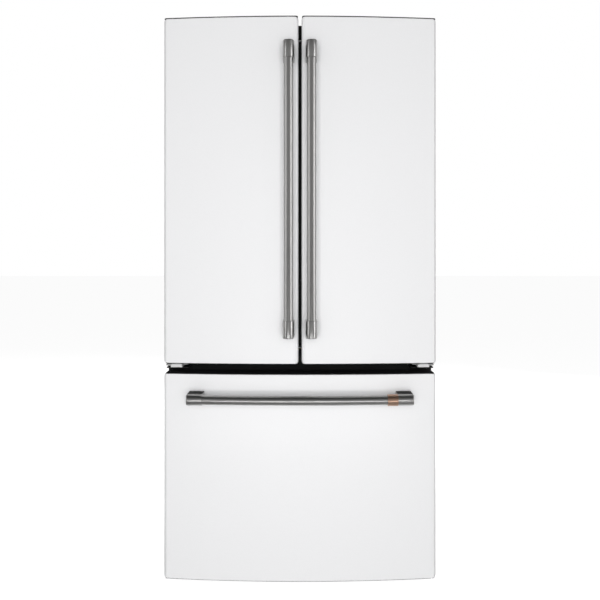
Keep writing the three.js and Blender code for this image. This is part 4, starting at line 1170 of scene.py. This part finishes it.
def compressor_set():
    """Compressor pot with its seam, feet and terminal box, a finned condenser and the tubes between them."""
    deck = 0.0416
    centre = (-0.220, 0.290)
    pot = Shell().turned("z", centre, [
        (0.045, deck + 0.006), (0.060, deck + 0.008), (0.070, deck + 0.014), (0.0745, deck + 0.026),
        (0.0745, 0.1075), (0.0778, 0.1085), (0.0778, 0.1125), (0.0745, 0.1135), (0.0735, 0.150),
        (0.070, 0.175), (0.062, 0.191), (0.050, 0.201), (0.034, 0.207), (0.016, 0.2095), (0.004, 0.210),
    ], 64)
    for dx, dy in ((-1, -1), (1, -1), (-1, 1), (1, 1)):
        foot = (centre[0] + dx * 0.052, centre[1] + dy * 0.050)
        pot.turned("z", foot, [(0.010, deck + 0.0005), (0.010, deck + 0.006), (0.007, deck + 0.011)], 20)
    box_x, box_y = (centre[0] + 0.066, centre[0] + 0.096), (centre[1] + 0.02, centre[1] + 0.062)
    pot.block(box_x, box_y, (0.120, 0.165), 0.004)
    pot.piece("compressor_pot", "black_enamel", replaces=["compressor_and_condenser"], slot="black_plastic")
    x, y, z = (0.060, 0.330), (0.200, 0.380), (0.042, 0.170)
    coil = Shell()
    for end in (x[0], x[1] - 0.0015):
        coil.block((end, end + 0.0015), y, z, 0.0003, 1)
    for i in range(FIN_COUNT):
        at = x[0] + 0.012 + i * FIN_PITCH
        coil.block((at, at + 0.0004), grow(y, -0.005), (z[0] + 0.016, z[1] - 0.002), 0.0001, 1)
    coil.piece("condenser_fins", "fin_aluminium")
    runs = []
    for height in (0.085, 0.145):
        route = []
        for row, depth in enumerate((0.225, 0.267, 0.309, 0.350)):
            ends = (x[0] - 0.004, x[1] + 0.004) if row % 2 == 0 else (x[1] + 0.004, x[0] - 0.004)
            route += [(ends[0], depth, height), (ends[1], depth, height)]
        runs.append(route)
    tubes("condenser_tubes", runs, TUBE_RADIUS, "copper_tube", smooth=False)
    discharge = [(-0.155, 0.262, 0.090), (-0.120, 0.215, 0.080), (-0.020, 0.195, 0.070),
                 (0.040, 0.210, 0.080), (0.060, 0.225, 0.085)]
    suction = [(-0.250, 0.300, 0.200), (-0.260, 0.320, 0.225), (-0.300, 0.350, 0.235),
               (-0.330, 0.370, 0.200), (-0.335, 0.372, 0.100)]
    tubes("refrigerant_tubes", [discharge, suction], TUBE_RADIUS, "copper_tube")


FAN_AXIS = (0.290, 0.130)
BLADE_COUNT = 5
BLADE_X = -0.018
BLADE_REACH = (0.018, 0.064)
# (share of the chord, thickness): over the blade's back, then under it
BLADE_SECTION = ((-1, 0), (-0.5, 0.0009), (0, 0.0012), (0.5, 0.0009), (1, 0),
                 (0.5, -0.0005), (-0.5, -0.0005))


def fan_blade(fan, turn, steps=6):
    """One blade, twisted less towards its tip, turned about the fan's axis."""
    start, count = len(fan.verts), len(BLADE_SECTION)
    for step in range(steps + 1):
        share = step / steps
        reach = BLADE_REACH[0] + (BLADE_REACH[1] - BLADE_REACH[0]) * share
        twist = math.radians(52 - 26 * share)
        chord = 0.011 + 0.007 * math.sin(math.pi * min(share * 1.1, 1))
        for along, thick in BLADE_SECTION:
            depth = along * chord * math.cos(twist) - thick * math.sin(twist)
            around = along * chord * math.sin(twist) + thick * math.cos(twist)
            y, z = polar(FAN_AXIS, reach, turn)
            fan.verts.append((BLADE_X + depth, y - around * math.sin(turn), z + around * math.cos(turn)))
    for r in range(steps):
        for k in range(count):
            a, b = start + r * count + k, start + r * count + (k + 1) % count
            fan.faces.append((a, b, b + count, a + count))
    fan.faces.append(tuple(start + k for k in range(count)))
    fan.faces.append(tuple(reversed([start + steps * count + k for k in range(count)])))


def condenser_fan():
    """Hub with twisted blades."""
    fan = Shell().turned("x", FAN_AXIS, [
        (0.004, -0.0065), (0.019, -0.0065), (0.020, -0.0075), (0.020, -0.026),
        (0.017, -0.0295), (0.010, -0.0300), (0.003, -0.0300),
    ], 40)
    for i in range(BLADE_COUNT):
        fan_blade(fan, 2 * math.pi * i / BLADE_COUNT)
    fan.piece("condenser_fan_rotor", "black_plastic", "fan", ["condenser_fan"])


BEAD_COUNT = 3
BEAD_PITCH = 0.085
# (inset from the bead's start, depth) across a pressed bead, with supports beside its flanks
BEAD = ((-0.001, 0), (0, 0), (0.0005, 0.0003), (0.0012, 0.0009), (0.002, 0.001), (0.003, 0.001),
        (0.013, 0.001), (0.014, 0.001), (0.0148, 0.0009), (0.0155, 0.0003), (0.016, 0), (0.017, 0))


def flat_heads(name, places, face, rim, crown):
    """Low screw heads on a sheet that faces back."""
    heads = Shell()
    for place in places:
        heads.turned("y", place, [(0.0042, face - 0.001), (0.0042, face + rim), (0.0036, face + crown)], 20)
    heads.piece(name, "zinc")


def back_sheet():
    """Back sheet with three pressed beads, one inside the other, and screws round its edge."""
    x, y, z = span("back_panel")
    rows = [(x, z, 0.002, y[0]), (x, z, 0.002, y[1])]
    inset = 0.035
    for _ in range(BEAD_COUNT):
        for shift, drop in BEAD:
            rows.append((grow(x, -inset - shift), grow(z, -inset - shift), 0.045, y[1] - drop))
        inset += BEAD_PITCH
    rect_loft(Shell(), "y", rows, steps=8).piece("back_sheet", "case_paint", replaces=["back_panel"])
    across_row = (-0.38, -0.19, 0, 0.19, 0.38)
    places = [(across, level) for level in grow(z, -0.012) for across in across_row]
    places += [(sign * 0.401, level) for sign in (-1, 1) for level in (0.5, 0.75, 1.0, 1.25, 1.5)]
    flat_heads("back_sheet_screws", places, y[1], 0.0001, 0.00025)


def machine_cover():
    """The cover's screws and the rings of its two fittings."""
    face = span("back_panel")[1][1]
    places = [(sign * at, level) for sign in (-1, 1) for at in (0.13, 0.395) for level in (0.036, 0.272)]
    flat_heads("machine_cover_screws", places, face, 0.00005, 0.0002)
    for name, across, radius, material, slot in (("cord_gland", -0.300, 0.009, "rubber", "black_plastic"),
                                                 ("water_inlet", 0.300, 0.012, "zinc", "zinc_steel")):
        outside, bore = radius + 0.004, radius - 0.003
        Shell().turned("y", (across, 0.060), [
            (outside, face - 0.0008), (outside, face + 0.0001), (radius + 0.003, face + 0.00025),
            (radius - 0.002, face + 0.00025), (bore, face + 0.00015), (bore, face - 0.0008),
        ], 48).piece(name + "_ring", material, slot=slot)


def mullion_flap():
    """The flap between the doors, a moulded bar on two knuckles, and the seal lip that meets it."""
    x, y, z = span("mullion")
    corner = 0.002

    def section(inset):
        return rounded(*grow(x, -inset), *grow(y, -inset), corner, 5)

    bar = Shell().loft("z", both_ends(z, corner, corner, section, 3))
    bar.piece("mullion_bar", "black_plastic", "mullion_flap", ["mullion"])
    knuckles = Shell()
    for height in (z[0] + 0.12, z[1] - 0.12):
        knuckles.turned("z", (x[0] + 0.0045, y[1] - 0.001), [
            (0.0030, height - 0.022), (0.0042, height - 0.021),
            (0.0042, height + 0.021), (0.0030, height + 0.022),
        ], 24)
    knuckles.piece("mullion_knuckles", "zinc", "mullion_flap")
    seal_x, seal_y, _ = span("right_door_gasket")
    lip_x, lip_y = (x[1] - 0.0004, seal_x[0] + 0.003), (seal_y[1] - 0.0022, seal_y[1] - 0.0006)
    lip = Shell().block(lip_x, lip_y, grow(z, -0.004), 0.0006)
    lip.piece("right_door_seal_lip", "rubber", "right_door", slot="seal_grey")


# ------------------------------------------------------------------ nodes that keep their CAD shape

# node: finish, and how much its edges are softened
REFINED = {
    "front_frame": ("frame_black", 0.001),
    "outer_case": ("case_paint", 0.0008),
    "insulation_foam": ("foam", 0.001),
    "base_chassis": ("zinc", 0.0006),
    "toe_grille": ("black_plastic", 0.0008),
    "machine_cover": ("black_plastic", 0.0005),
    "evaporator_cover": ("liner_white", 0.001),
    "evaporator_coil": ("fin_aluminium", 0.0002),
}


def refine_nodes():
    for node, (material, width) in REFINED.items():
        piece = nodes[node]
        piece.data.materials.clear()
        piece.data.materials.append(materials[material])
        soft = piece.modifiers.new("edge", "BEVEL")
        soft.width = width
        soft.segments = 2
        soft.limit_method = "ANGLE"
        soft.angle_limit = math.radians(40)


# ------------------------------------------------------------------ build

materials = make_materials()
make_camera()
make_world()
make_lights()
set_colours()

for side_name in SIDES:
    door_skin(side_name)
    door_handle(side_name)
    door_insides(side_name)
    mid_hinge(side_name)
    top_hinge(side_name)
    hinge_cover(side_name)
    leveling_leg(side_name)
    rear_roller(side_name)
drawer_skin()
drawer_handle()
mullion_flap()
fridge_interior()
air_duct()
ceiling_fittings()
shelves()
crisper_area()
freezer_interior()
drawer_inside()
drawer_slides()
freezer_baskets()
compressor_set()
condenser_fan()
back_sheet()
machine_cover()
refine_nodes()


def make_floor():
    """A plain white floor, which glows a little to the camera so that it meets the white behind it."""
    mesh = bpy.data.meshes.new("floor")
    corners = [(x * FLOOR_HALF, y * FLOOR_HALF, 0) for x, y in ((-1, -1), (1, -1), (1, 1), (-1, 1))]
    mesh.from_pydata(corners, [], [(0, 1, 2, 3)])
    material, tree, shader = principled("floor_white", (0.5, 0.5, 0.5), 0.7, specular=0.1)
    shader.inputs["Emission Color"].default_value = (1, 1, 1, 1)
    path = tree.nodes.new("ShaderNodeLightPath")
    glow = spread(tree, path.outputs["Is Camera Ray"], 0, FLOOR_GLOW, (0, 1))
    tree.links.new(glow, shader.inputs["Emission Strength"])
    mesh.materials.append(material)
    floor = bpy.data.objects.new("floor", mesh)
    floor.visible_diffuse = False
    bpy.context.scene.collection.objects.link(floor)


make_floor()
